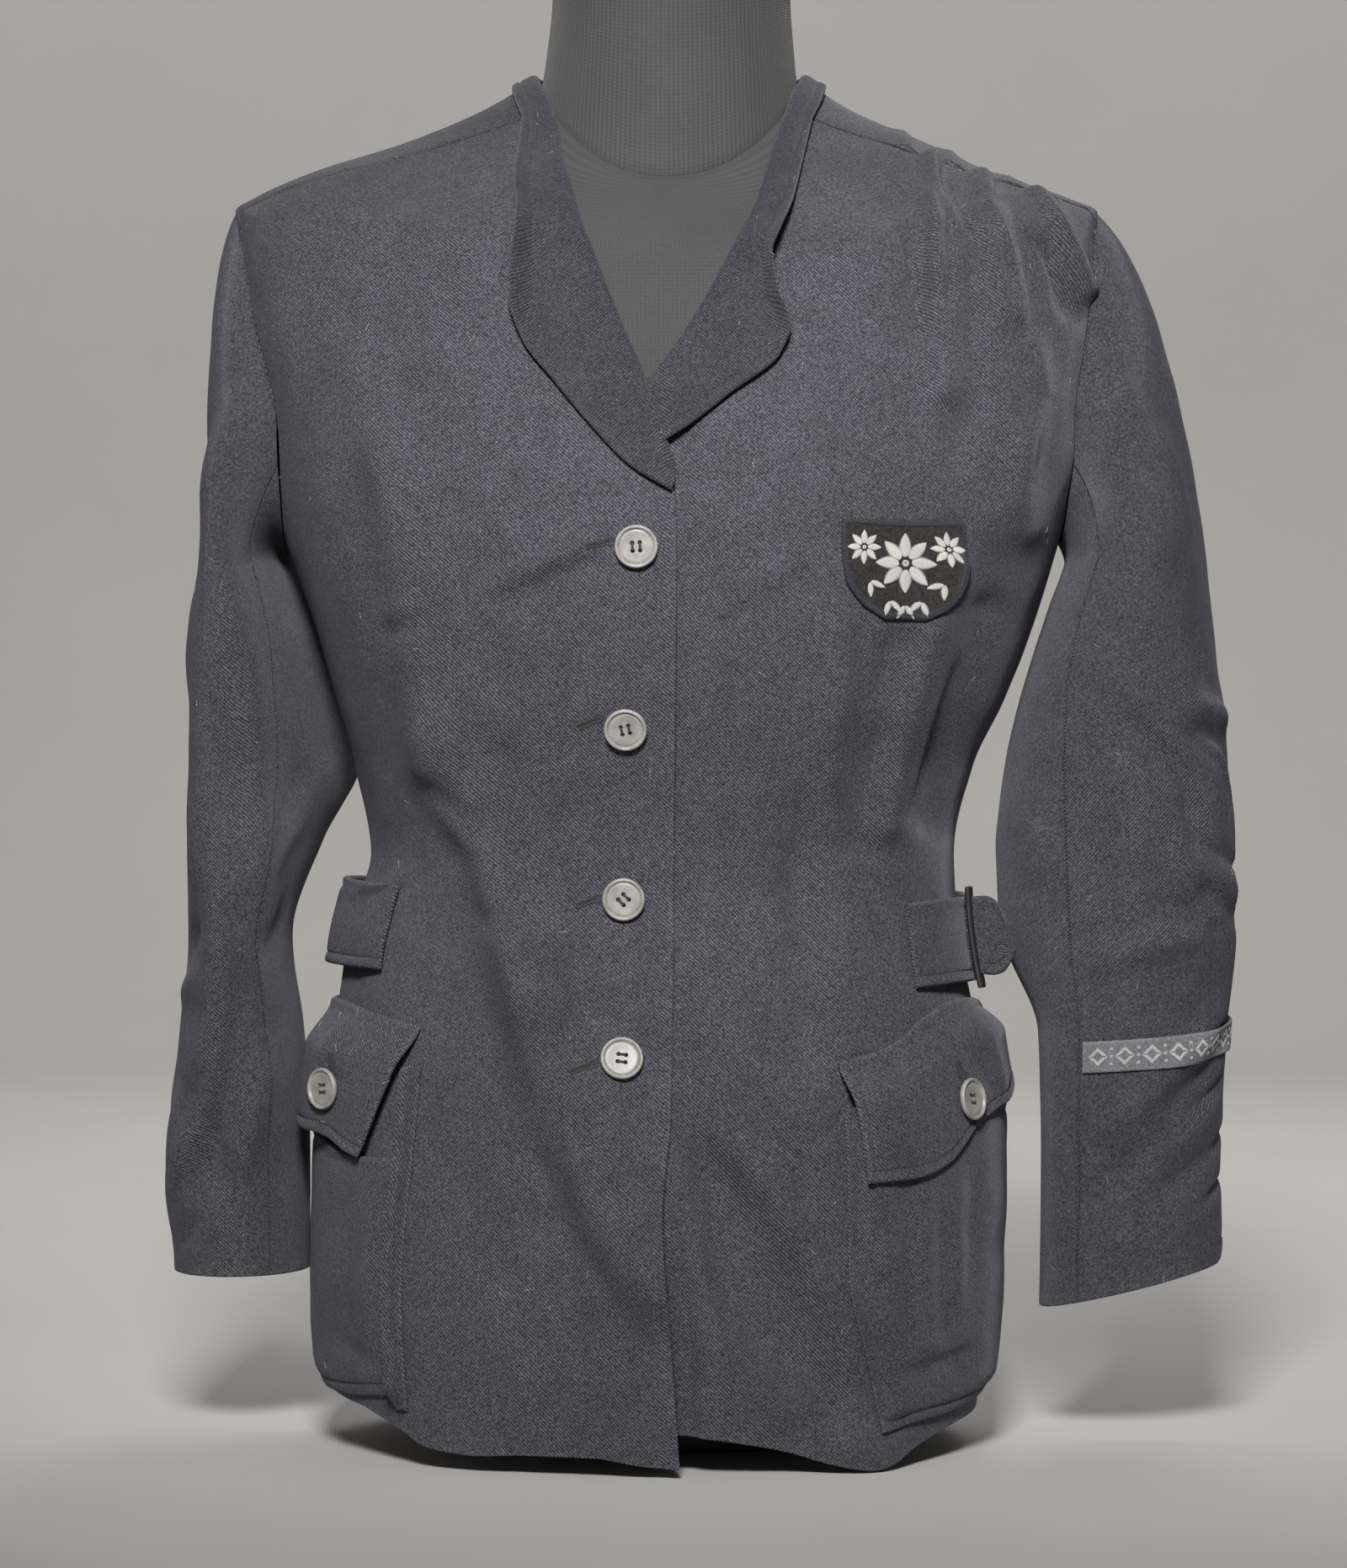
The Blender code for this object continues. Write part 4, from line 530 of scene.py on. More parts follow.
def bodyGrain(angle, level):
    column = np.clip((angle - grainAngles[0]) / grainTurn, 0, len(grainAngles) - 1.001)
    row = np.clip((level - grainLevels[0]) / grainRise, 0, len(grainLevels) - 1.001)
    return np.stack([between(grid, column, row) for grid in (grainRound, grainUp)], -1)


# Meshes.


def evenShares(length, step, close=(0.35, 0.8, 1.4, 2.2)):
    # Shares of a length at even steps, and closer together at both ends, where an edge is rounded.
    close = np.array([c for c in close if c < length / 4])
    last = close[-1]
    inner = np.linspace(last, length - last, max(2, int(round((length - 2 * last) / step)) + 1))
    return np.concatenate([[0], close[:-1], inner, (length - close[:-1])[::-1], [length]]) / length


def withLines(shares, length, distances):
    # Adds close lines at the given distances from both ends, for rows of stitching.
    extra = [d + o for d in distances for o in (-0.9, -0.4, 0, 0.4, 0.9)]
    marks = np.array([e / length for e in extra if 0 < e < length])
    kept = shares[np.min(np.abs(shares[:, None] - np.concatenate([marks, [9.0]])), 1) > 0.3 / length]
    return np.sort(np.concatenate([kept, marks]))


def wayAlong(path):
    # The length of a path up to each of its points, in millimetres.
    return np.pad(np.linalg.norm(np.diff(path, axis=0), axis=1).cumsum(), (1, 0)) / mm


def evenAlong(path, values, step):
    # Values of a path's parameter at even steps of its length, with closer ones at both ends.
    length = wayAlong(path)
    return np.interp(evenShares(length[-1], step) * length[-1], length, values)


def distances(points):
    # Lengths across each row from its start, and up each column, in millimetres.
    across = np.linalg.norm(np.diff(points, axis=1), axis=2).cumsum(1) / mm
    up = np.linalg.norm(np.diff(points, axis=0), axis=2).cumsum(0) / mm
    return np.pad(across, ((0, 0), (1, 0))), np.pad(up, ((1, 0), (0, 0)))


def edgeDistances(points):
    # Each point's distance from the first and last column and from the first and last row.
    across, up = distances(points)
    return across, across[:, -1:] - across, up, up[-1:] - up


def finishEdges(points, normals, wall, edges, roundness=0.9):
    # Rounds a sheet's edges, sinks its rows of stitching, and returns its outer and inner points.
    # edges holds, for the first and last column and the first and last row, the stitching's distance or None.
    drop, sink = np.zeros(points.shape[:2]), np.zeros(points.shape[:2])
    for distance, stitched in zip(edgeDistances(points), edges):
        near = np.clip(1 - distance / roundness, 0, 1)
        drop = np.maximum(drop, roundness * (1 - np.sqrt(1 - near**2)))
        if stitched:
            sink = sink - 0.7 * np.exp(-(((distance - stitched) / 0.7) ** 2))
            sink = sink + 0.4 * ease(distance, 0.3, 1.2) * (1 - ease(distance, stitched - 1.0, stitched - 0.2))
    return raised(points, normals, sink - drop), raised(points, normals, np.minimum(drop, wall * 0.45) - wall)


# Which edges of a piece are free, and so get pale wear: first and last column, first and last row. Along the other
# edges, at seams, the cloth gets painted shade.
freeEdges = {"front_right": (1, 0, 1, 0), "front_left": (1, 0, 1, 0), "back": (0, 0, 1, 0), "yoke": (0, 0, 0, 1)}
freeEdges |= {f"sleeve_{word}_{part}": (0, 0, 0, 1) for word in ("right", "left") for part in ("upper", "under")}
unstitched = (None,) * 4
dressed = {}  # the piece that stands for each solid


def placed(name, data):
    # A new object at the origin, in the scene.
    thing = bpy.data.objects.new(name, data)
    bpy.context.scene.collection.objects.link(thing)
    return thing


def baked(source):
    # The plain mesh that an object's modifiers make of it. The object itself goes.
    graph = bpy.context.evaluated_depsgraph_get()
    mesh = bpy.data.meshes.new_from_object(source.evaluated_get(graph), depsgraph=graph)
    bpy.data.objects.remove(source, do_unlink=True)
    return mesh


def shell(name, points, normals, wall, edges, make, grain=None):
    # A closed thin wall on a grid of points, with cloth lengths as its UV map.
    outer, inner = finishEdges(points, normals, wall, edges)
    rows, columns = outer.shape[:2]
    stitchEdges(outer, normals, edges)
    count = rows * columns
    index = np.arange(count).reshape(rows, columns)
    quads = np.stack([index[:-1, :-1], index[:-1, 1:], index[1:, 1:], index[1:, :-1]], -1).reshape(-1, 4)
    facing = np.sum(np.cross(np.diff(points, axis=1)[:-1], np.diff(points, axis=0)[:, :-1]) * normals[:-1, :-1])
    rim = np.concatenate([index[0], index[1:, -1], index[-1, -2::-1], index[-2:0:-1, 0]])
    after = np.roll(rim, -1)
    sides = np.stack([rim, rim + count, after + count, after], -1)
    if facing < 0:
        quads, sides = quads[:, ::-1], sides[:, ::-1]
    faces = np.concatenate([quads, quads[:, ::-1] + count, sides])
    mesh = bpy.data.meshes.new(name)
    mesh.from_pydata(np.concatenate([outer.reshape(-1, 3), inner.reshape(-1, 3)]).tolist(), [], faces.tolist())
    away = edgeDistances(points)
    if grain is None:
        middle = away[0][len(points) // 2], away[2][:, columns // 2]
        grain = np.stack(np.meshgrid(*middle), -1)
    grain = np.tile(grain.reshape(-1, 2) * mm, (2, 1))
    layer = mesh.uv_layers.new(name="cloth")
    corners = np.empty(len(mesh.loops), int)
    mesh.loops.foreach_get("vertex_index", corners)
    layer.data.foreach_set("uv", grain[corners].ravel())
    # Pale wear along free edges, and painted shade that darkens the cloth along seamed edges.
    worn = np.zeros(points.shape[:2])
    for distance, free in zip(away, freeEdges.get(name, (1, 1, 1, 1))):
        worn = worn + (np.exp(-((distance / 2.0) ** 2)) if free else -1.3 * np.exp(-((distance / 0.9) ** 2)))
    worn = np.tile(np.clip(worn, -1.3, 1).ravel(), 2)
    mesh.attributes.new("worn", "FLOAT", "POINT").data.foreach_set("value", worn)
    mesh.shade_smooth()
    return finishPiece(placed(f"{name}_piece", mesh), make, [name])


def finishPiece(piece, made, nodes=()):
    piece.data.materials.clear()
    piece.data.materials.append(made)
    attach(piece, "root")
    if nodes:
        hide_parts(*nodes)
        dressed[nodes[0]] = piece
    return piece


# The body's panels.


def coons(bottom, top, inner, outer, u, v):
    u, v = u[None, :, None], v[:, None, None]
    across = inner[:, None] * (1 - u) + outer[:, None] * u
    along = bottom[None] * (1 - v) + top[None] * v
    return across + along - ((bottom[0] * (1 - u) + bottom[-1] * u) * (1 - v) + (top[0] * (1 - u) + top[-1] * u) * v)


def frontGrid(side, edge, hem, rows, u):
    # Angles and levels of a front at rows from 0 at the hem to 21 at the yoke, and shares of its width.
    hemSide = read(hem, "angle", "z", side * 90.0)
    level = hemSide + (armpitLevel - hemSide) * np.clip(rows / sideRows, 0, 1)
    seam = np.stack([np.full(len(rows), side * 90.0), level], -1)
    arm = armhole(side, armpitStep + np.clip(rows - sideRows, 0, topRows))
    outer = np.where((rows > sideRows)[:, None], arm, seam)
    first, last = edge["z"][0], edge["z"][-1]
    low = first + (armpitLevel - first) * np.clip(rows / sideRows, 0, 1)
    height = low + (last - armpitLevel) * np.clip((rows - sideRows) / (topRows - 1), 0, 1)
    inner = onFront(read(edge, "z", "x", height), height)
    corner = np.array([side * yokeNeckAngle, neckLevel])
    inner = inner + (corner - inner) * np.clip(rows - sideRows - topRows + 1, 0, 1)[:, None]
    top = corner + (armhole(side, yokeFrontStep) - corner) * u[:, None]
    angles = inner[0, 0] + (side * 90 - inner[0, 0]) * u
    bottom = np.stack([angles, read(hem, "angle", "z", angles)], -1)
    inner[0, 1] = bottom[0, 1]
    return coons(bottom, top, inner, outer, u, rows / (sideRows + topRows))


def backGrid(rows, u):
    hemLeft, hemRight = backHem["z"][0], backHem["z"][-1]
    part = np.clip(rows / sideRows, 0, 1)
    steps = armpitStep - np.clip(rows - sideRows, 0, topRows)
    edges = []
    for side, hem, angle in ((1, hemLeft, 90.0), (-1, hemRight, 270.0)):
        seam = np.stack([np.full(len(rows), angle), hem + (armpitLevel - hem) * part], -1)
        arm = armhole(side, steps)
        arm[:, 0] += 0 if side > 0 else 360
        edges.append(np.where((rows > sideRows)[:, None], arm, seam))
    angles = 90 + 180 * u
    bottom = np.stack([angles, read(backHem, "angle", "z", angles)], -1)
    top = edges[0][-1] + (edges[1][-1] - edges[0][-1]) * u[:, None]
    return coons(bottom, top, edges[0], edges[1], u, rows / (sideRows + topRows))


def yokeGrid(t, w):
    # From the neckline, t = 1, to the outer edge, t = 0, along 24 steps: a front seam, the back seam, a front seam.
    span = yokeBackStep - yokeFrontStep
    left = armhole(1, yokeFrontStep + np.clip(w, 0, span))
    right = armhole(-1, yokeBackStep - np.clip(w - span - yokeBackSteps, 0, span))
    right[:, 0] += 360
    share = np.clip((w - span) / yokeBackSteps, 0, 1)[:, None]
    outer = left + (right - left) * share
    turn = np.interp(outer[:, 0], [outer[0, 0], outer[-1, 0]], [yokeNeckAngle, 360 - yokeNeckAngle])
    neckline = np.stack([turn, np.full(len(turn), neckLevel)], -1)
    return neckline[None] * t[:, None, None] + outer[None] * (1 - t[:, None, None])


def evenly(grid, wholeRows, wholeColumns, step):
    # Rows and columns of a grid function at even steps of length.
    rows, columns = np.linspace(0, wholeRows, 240), np.linspace(0, wholeColumns, 240)
    up = grid(rows, np.array([0.0, 0.5 * wholeColumns, wholeColumns]))[:, 1]
    chosenRows = evenAlong(bodyPoint(up[:, 0], up[:, 1]), rows, step)
    along = grid(np.array([0.0, 0.42 * wholeRows, wholeRows]), columns)[1]
    return chosenRows, evenAlong(bodyPoint(along[:, 0], along[:, 1]), columns, step)


def bodyPanel(name, grid, lift):
    angle, level = grid[..., 0], grid[..., 1]
    normals = bodyNormal(angle, level)
    points = pullIn(soften(raised(bodyPoint(angle, level), normals, lift(angle, level))))
    return shell(name, points, normals, wallPanel, unstitched, twill, bodyGrain(angle, level))


def pullIn(points):
    gap = seamGap * mm
    moved = points.copy()
    moved[0] += unit(points[2] - points[0]) * gap
    moved[-1] += unit(points[-3] - points[-1]) * gap
    moved[:, 0] += unit(points[:, 2] - points[:, 0]) * gap
    moved[:, -1] += unit(points[:, -3] - points[:, -1]) * gap
    return moved


frontLook = dict(swing=3.0, edge=1.1, buried=1.3, buriedLow=3.6)


def rightLift(angle, level):
    # Its free corner swings a little forwards at the hem, and its edge stands a little off.
    x, _, z = np.moveaxis(bodyPoint(angle, level) / mm, -1, 0)
    swing = frontLook["swing"] * (1 - ease(z, 30, 130)) * ease(x, -70, -8)
    swing = swing + frontLook["edge"] * np.exp(-(((x - 6) / 5.0) ** 2)) * (1 - ease(z, 440, 465))
    return np.maximum(bodyLift(angle, level), -0.3 - 9 * ease(-x, 30, 52)) + swing


def leftLift(angle, level):
    # Its edge goes in under the right front, and deeper towards the hem.
    place = bodyPoint(angle, level) / mm
    x, z = place[..., 0], place[..., 2]
    buried = (1 - ease(x, 9.5, 19)) * (1 - ease(z, 505, 540))
    under = wallPanel + frontLook["buried"] + frontLook["buriedLow"] * (1 - ease(z, 60, 130))
    return np.where(x < 8, 0, bodyLift(angle, level) * ease(x, 8, 16)) - under * buried


def yokeLift(angle, level):
    # Gathers from the seam run on a little way into the yoke, which rests on the form.
    place = bodyPoint(angle, level) / mm
    near = np.abs(((np.asarray(angle) + 180) % 360) - 180)
    seamSide = np.where(near < 90, ease(-belowYoke(near, level), 0, 4), 1)
    lift = foldLift(yokeWrinkles, place[..., 0], place[..., 2], True) * (place[..., 1] < 0)
    lift = lift + 0.35 + 0.35 * softNoise(place, 40, 3)
    return np.maximum(lift, 0) * seamSide * ease(level, 556.4, 566)


def buildArmholes():
    # Points round each armhole, the way between the body's and the sleeve's faces there, and how far it sinks.
    lines = []
    for side in (1, -1):
        steps = np.linspace(-5, 17, 111)
        loop = armhole(side, steps)
        body = bodyNormal(loop[:, 0], loop[:, 1])
        rings = sleevePoints(side, steps, [0, 0.08, 0.16], [])
        sleeve = unit(np.cross(rings[2] - rings[0], np.gradient(rings[1], axis=0))) * side
        apart = np.arccos(np.clip(np.sum(body * sleeve, -1), -1, 1))
        depth = np.clip(20.0 * (1 / np.cos(np.minimum(apart, 2.2) / 2) - 1), 0, 7.0)
        depth = depth * ease(np.sin(np.radians(steps * 15)), -0.55, 0.1)
        lines.append((rings[0], unit(body + sleeve), depth))
    return lines


def soften(points):
    # Rounds the corner between the body and the sleeves: both sink towards it in the same way.
    flat = points.reshape(-1, 3)
    moved = flat.copy()
    for places, ways, depth in armholes:
        near = np.nonzero(np.abs(flat[:, 0]) > 0.1)[0]
        near = near[np.sign(flat[near, 0]) == np.sign(places[0, 0])]
        away = np.linalg.norm(flat[near, None] - places[None], axis=2)
        at = np.argmin(away, 1)
        least = away[np.arange(len(near)), at] / mm
        moved[near] -= ways[at] * (depth[at] * np.exp(-((least / 13.0) ** 2)) * mm)[:, None]
    return moved.reshape(points.shape)


# The sleeves.


def sleeveSection(side, steps, z):
    rows = {1: leftSleeve, -1: rightSleeve}[side]
    front, outer, rear, inner = [
        np.array([read(rows, "z", place + "_x", z), read(rows, "z", place + "_y", z)])
        for place in ("front", "outer", "back", "inner")
    ]
    middle = (front + outer + rear + inner) / 4

    def oval(turn):
        return middle + (front - rear) / 2 * np.cos(turn) + (outer - inner) / 2 * np.sin(turn)

    reach = oval(np.radians(np.arange(0.0, 360.0, 3.0))[:, None])[:, 0]
    ring = oval(np.radians(steps * 360 / armholeSteps)[:, None])
    x = np.interp(ring[:, 0], [reach.min(), reach.max()], [inner[0], outer[0]])
    return np.stack([side * x, ring[:, 1], np.full(len(ring), float(z))], -1)


def sleevePoints(side, steps, cap, heights):
    turn = np.radians(steps * 360 / armholeSteps)
    loop = armhole(side, steps)
    start = bodyPoint(loop[:, 0], loop[:, 1])
    given = sleeveHeights[side]
    first = sleeveSection(side, steps, given[0]) * mm
    reach = np.linalg.norm(first - start, axis=1, keepdims=True)
    out, up, strength, aside = capDirection[side]
    top, level = np.clip(np.sin(turn), 0, 1), np.abs(np.cos(turn))
    leaveOut = side * (out * top + aside * level + 0.05)
    leaveUp = up * top - 0.45 * level - 0.3 * (1 - top)
    leave = unit(np.stack([leaveOut, -0.25 * np.cos(turn), leaveUp], -1)) * reach * strength
    arrive = unit(sleeveSection(side, steps, given[1]) * mm - first) * reach * 0.7
    rings = []
    for t in cap:
        a, b = 2 * t**3 - 3 * t**2 + 1, t**3 - 2 * t**2 + t
        rings.append(a * start + b * leave + (1 - a) * first + (t**3 - t**2) * arrive)
    rows = {1: leftSleeve, -1: rightSleeve}[side]
    middle = (rows["outer_x"][0] + rows["inner_x"][0]) / 2
    for z in heights:
        ring = sleeveSection(side, steps, z)
        ring[:, 2] += cuffSlant[side] * (side * ring[:, 0] - middle) * (1 - ease(z, given[-1], 150))
        rings.append(ring * mm)
    return np.array(rings)


sleeveLook = dict(step=3.0, capLength=90, capEnd=425, folds=1.9, wrinkles=1.3)


def sleeveGrid(side):
    # The whole sleeve as one grid, with the step round the armhole of each of its columns.
    look, parts = sleeveLook, []
    for low, high in ((sleeveFrontSeam, sleeveBackSeam), (sleeveBackSeam, sleeveFrontSeam + armholeSteps)):
        steps = np.linspace(low, high, 200)
        parts.append(evenAlong(sleevePoints(side, steps, [], [300])[0], steps, look["step"]))
    steps = np.concatenate([parts[0], parts[1][1:]])
    cap = evenShares(look["capLength"], look["step"], (0.35, 0.8, 1.4, 2.2, 3.2))
    cap = cap[cap < 0.97]
    top, low = look["capEnd"], sleeveHeights[side][-1]
    heights = top - (top - low) * evenShares(top - low, look["step"])
    heights = heights[(heights > top - 1e-6) | (heights < top - 2.5)]
    points = sleevePoints(side, steps, cap, heights)
    wide = np.concatenate([points[:, -2:-1], points, points[:, 1:2]], 1)
    normals = unit(np.cross(np.gradient(points, axis=0), wide[:, 2:] - wide[:, :-2])) * side
    loop = armhole(side, steps)
    share = ease(np.sin(np.radians(steps * 360 / armholeSteps)), -0.6, 0.2)[:, None]
    fade = (1 - ease(np.arange(len(points)), 0, 5))[:, None, None]
    body = bodyNormal(loop[:, 0], loop[:, 1])
    normals = unit(normals * (1 - share * fade) + body * share * fade)
    place = points / mm
    fadeCap = ease(np.linalg.norm(points - points[0], axis=2) / mm, 6, 30)
    facing = ease(-normals[..., 1], -0.2, 0.4)
    # Lengths round the sleeve from its foremost line, negative towards the body.
    gone = distances(points)[0]
    zero, whole = np.array([np.interp(0.0, steps, row) for row in gone])[:, None], gone[:, -1:]
    around = np.where(gone - zero > whole * 0.62, gone - zero - whole, gone - zero)
    lift = foldLift(sleeveFolds[side], place[..., 0], place[..., 2], True) * facing
    seams = np.array([sleeveFrontSeam, sleeveBackSeam, sleeveFrontSeam + armholeSteps])
    seam = np.min(np.abs(steps[None] - seams[:, None]), 0)
    small = foldLift(sleeveWrinkles[side], around, place[..., 2], True) * ease(seam, 0.1, 1.2)
    small = small * (0.8 + 1.1 * ease(around, -28, -8) * (1 - ease(around, 84, 98)))
    uneven = 0.6 * softNoise(place, 42, 11 + side) + 0.45 * softNoise(place, 17, 14 + side)
    lift = (look["folds"] * lift + look["wrinkles"] * small + uneven) * fadeCap
    return steps, soften(raised(points, normals, lift)), normals


# Trims: pieces that lie on the body's cloth.


def onCloth(grid, lift, wall):
    angle, level = grid[..., 0], grid[..., 1]
    normals = bodyNormal(angle, level)
    x = bodyPoint(angle, level)[..., 0] / mm
    under = np.where(x < 8, rightLift(angle, level), bodyLift(angle, level) * ease(x, 8, 20))
    return raised(bodyPoint(angle, level), normals, lift + under + wall), normals


turnColumns = 8  # across the cloth that turns round a roll line
lapelLook = dict(front=14, step=2.4, width=46, across=2.0, stitch=5.0, overShoulder=3.4)


def lapelPiece(name, side, rows, wrapEnds, curl):
    # Its places p run from 0 at the break to "front" at the shoulder, and on through the rows of lapelTop.
    look = lapelLook
    front = look["front"]
    whole = front + float(len(lapelTop["angle"]))

    def lines(p):
        steps = np.clip(p, 0, front) / front * rows["step"][-1]
        result = []
        for place in ("roll", "edge"):
            line = onFront(read(rows, "step", place + "_x", steps), read(rows, "step", place + "_z", steps))
            end = onFront(rows[place + "_x"][-1], rows[place + "_z"][-1])
            after = np.concatenate([[end], np.stack([side * lapelTop["angle"], lapelTop[place]], -1)])
            for axis in range(2):
                over = atColumn(after[:, axis], np.clip(p - front, 0, whole - front))
                line[:, axis] = np.where(p > front, over, line[:, axis])
            result.append(line)
        return result

    dense = np.linspace(0, whole, 300)
    middle = np.mean(lines(dense), 0)
    p = evenAlong(bodyPoint(middle[:, 0], middle[:, 1]), dense, look["step"])
    roll, edge = lines(p)
    share = withLines(evenShares(look["width"], look["across"]), look["width"], [look["stitch"]])[None, :, None]
    grid = roll[:, None] * (1 - share) + edge[:, None] * share
    stand = read(rows, "step", "stand", np.clip(p, 0, front) / front * rows["step"][-1])
    stand = np.where(p > front, look["overShoulder"], stand)[:, None]
    across = share[..., 0]
    lift = lapelStand + 0.6 * np.sin(np.pi * across) + (stand - 3.0) * ease(across, 0.45, 1.0)
    # Its edge isn't flat: it rises and sinks a little, and rolls over between the bends seen on it.
    wave = 0.9 * softNoise(np.stack([p * 11, 0 * p, 0 * p + 40 * side], -1), 16, 31)[:, None]
    lift = lift + np.maximum(wave, -0.5) * ease(across, 0.5, 1.0)
    ends = [bodyPoint(grid[:, k, 0], grid[:, k, 1]) for k in (0, -1)]
    wide = np.linalg.norm(ends[0] - ends[1], axis=1) / mm
    inside = (1 - across) * wide[:, None]
    curled = np.interp(p, curl[0], curl[1])[:, None]
    lift = lift + curled * (3.6 * np.exp(-((inside / 3.6) ** 2)) - 3.4 * np.exp(-(((inside - 10) / 5.0) ** 2)))
    flat, normals = onCloth(grid, np.maximum(lift, 0.5), wallDouble)
    points, normals = wrapped(flat, normals, wrapEnds, p)
    grain = bodyGrain(grid[..., 0], grid[..., 1])
    turned = grain[:, :1] + (grain[:, :1] - grain[:, 6:7]) / 3.0 * np.arange(turnColumns, 0, -1)[None, :, None]
    grain = np.concatenate([turned, grain], 1) * np.array([side * 1.0, 1.0])
    edges = (None, look["stitch"], None, None)
    return shell(name, points, normals, wallDouble, edges, facing, grain)


def wrapped(flat, normals, wrapEnds, p):
    # Adds the cloth that turns round the roll line to the inside of the front.
    radius = wallDouble + lapelStand + 1.0
    out = unit(flat[:, :1] - flat[:, 4:5])
    out = unit(out - np.sum(out * normals[:, :1], -1, keepdims=True) * normals[:, :1])
    turnEnd = np.radians(np.interp(p, *wrapEnds))[:, None, None]
    turn = turnEnd * np.linspace(1, 0, turnColumns + 1)[None, :-1, None]
    radial = normals[:, :1] * np.cos(turn) + out * np.sin(turn)
    middle = flat[:, :1] - normals[:, :1] * radius * mm
    return np.concatenate([middle + radial * radius * mm, flat], 1), np.concatenate([radial, normals], 1)


def patchGrid(rows, side, straight, step, stitch):
    # Angles, levels and shares of height of a pocket or flap between its bottom and top.
    columns = np.linspace(0, len(rows["angle"]) - 1, 300)
    angles = atColumn(rows["angle"], columns)
    middle = (read(rows, "angle", "bottom", angles) + read(rows, "angle", "top", angles)) / 2
    path = bodyPoint(side * angles, middle)
    length = np.linalg.norm(np.diff(path, axis=0), axis=1).sum() / mm
    tall = np.median(read(rows, "angle", "top", angles) - read(rows, "angle", "bottom", angles))
    columns = np.interp(withLines(evenShares(length, step), length, stitch) * length, wayAlong(path), columns)
    angles = atColumn(rows["angle"], columns)
    share = withLines(evenShares(tall, step), tall, stitch)[:, None]
    level = read(rows, "angle", "bottom", angles) * (1 - share) + read(rows, "angle", "top", angles) * share
    lean = read(rows, "angle", "lean", angles)
    angle = side * (angles + lean * ease(share, 0, 0.5) * (1 - straight) + lean * share * straight)
    return angles, np.stack([angle, level], -1), share


pocketLook = dict(step=2.6, side=6.0, mouth=5.0)
flapLook = dict(step=2.2, stitch=5.2)
beltLook = dict(step=2.6, width=40, across=2.2, stitch=5.0)


def pocketPiece(name, rows, side):
    look = pocketLook
    angles, grid, share = patchGrid(rows, side, 0, look["step"], [look["side"]])
    lift = 0.9 + (read(rows, "angle", "lift", angles) - 0.9) * ease(share, 0, 0.08)
    points, normals = onCloth(grid, lift, wallPocket)
    place = points / mm
    uneven = 0.7 * softNoise(place, 30, 21) + 0.25 * softNoise(place, 12, 22)
    uneven = uneven + 1.2 * foldLift(pocketWrinkles[side], place[..., 0], place[..., 2], True)
    points = raised(points, normals, np.maximum(uneven, -2.0) * ease(share, 0.0, 0.12))
    turned = slice(None, None, side)
    edges = (None, None, look["side"], look["mouth"])
    return shell(name, points[:, turned], normals[:, turned], wallPocket, edges, twill)


def flapPiece(name, rows, side, plane):
    stitch = flapLook["stitch"]
    angles, grid, share = patchGrid(rows, side, 1, flapLook["step"], [stitch])
    x, y, turn = plane
    facingWay = np.array([math.sin(math.radians(turn)), -math.cos(math.radians(turn)), 0])
    angle, level = grid[..., 0], grid[..., 1]
    away = (np.array([x, y, 0]) * mm - bodyPoint(angle, level)) @ facingWay
    flat = away / (bodyNormal(angle, level) @ facingWay) / mm
    flat = np.clip(flat, read(rows, "angle", "least", angles), read(rows, "angle", "lift", angles))
    lift = 0.8 + (flat - 0.8) * ease(1 - share, 0, 0.4)
    points, normals = onCloth(grid, lift, wallDouble)
    uneven = 0.8 * softNoise(points / mm, 34, 25) * ease(1 - share, 0.1, 0.5)
    points = raised(points, normals, np.maximum(uneven, -0.4))
    turned = slice(None, None, side)
    points, normals = points[:, turned], normals[:, turned]
    grain = bodyGrain(grid[..., 0], grid[..., 1])[:, turned]
    return shell(name, points, normals, wallDouble, (stitch,) * 4, twill, grain)


def beltPiece(name, rows):
    look = beltLook
    angles = atColumn(rows["angle"], np.linspace(0, len(rows["angle"]) - 1, 400))
    angles = evenAlong(bodyPoint(angles, 245.0), angles, look["step"])
    share = withLines(evenShares(look["width"], look["across"]), look["width"], [look["stitch"]])[:, None]
    level = read(rows, "angle", "low", angles) * (1 - share) + read(rows, "angle", "high", angles) * share
    grid = np.stack([np.broadcast_to(angles, level.shape), level], -1)
    points, normals = onCloth(grid, read(rows, "angle", "lift", angles), wallDouble)
    uneven = 0.6 * softNoise(points / mm, 26, 27)
    points = raised(points, normals, np.maximum(uneven, -0.4))
    edges = (None, None, look["stitch"], look["stitch"])
    return shell(name, points, normals, wallDouble, edges, beltCloth)


tabLook = dict(length=17.5, width=37, end=4.0, sides=5.0)


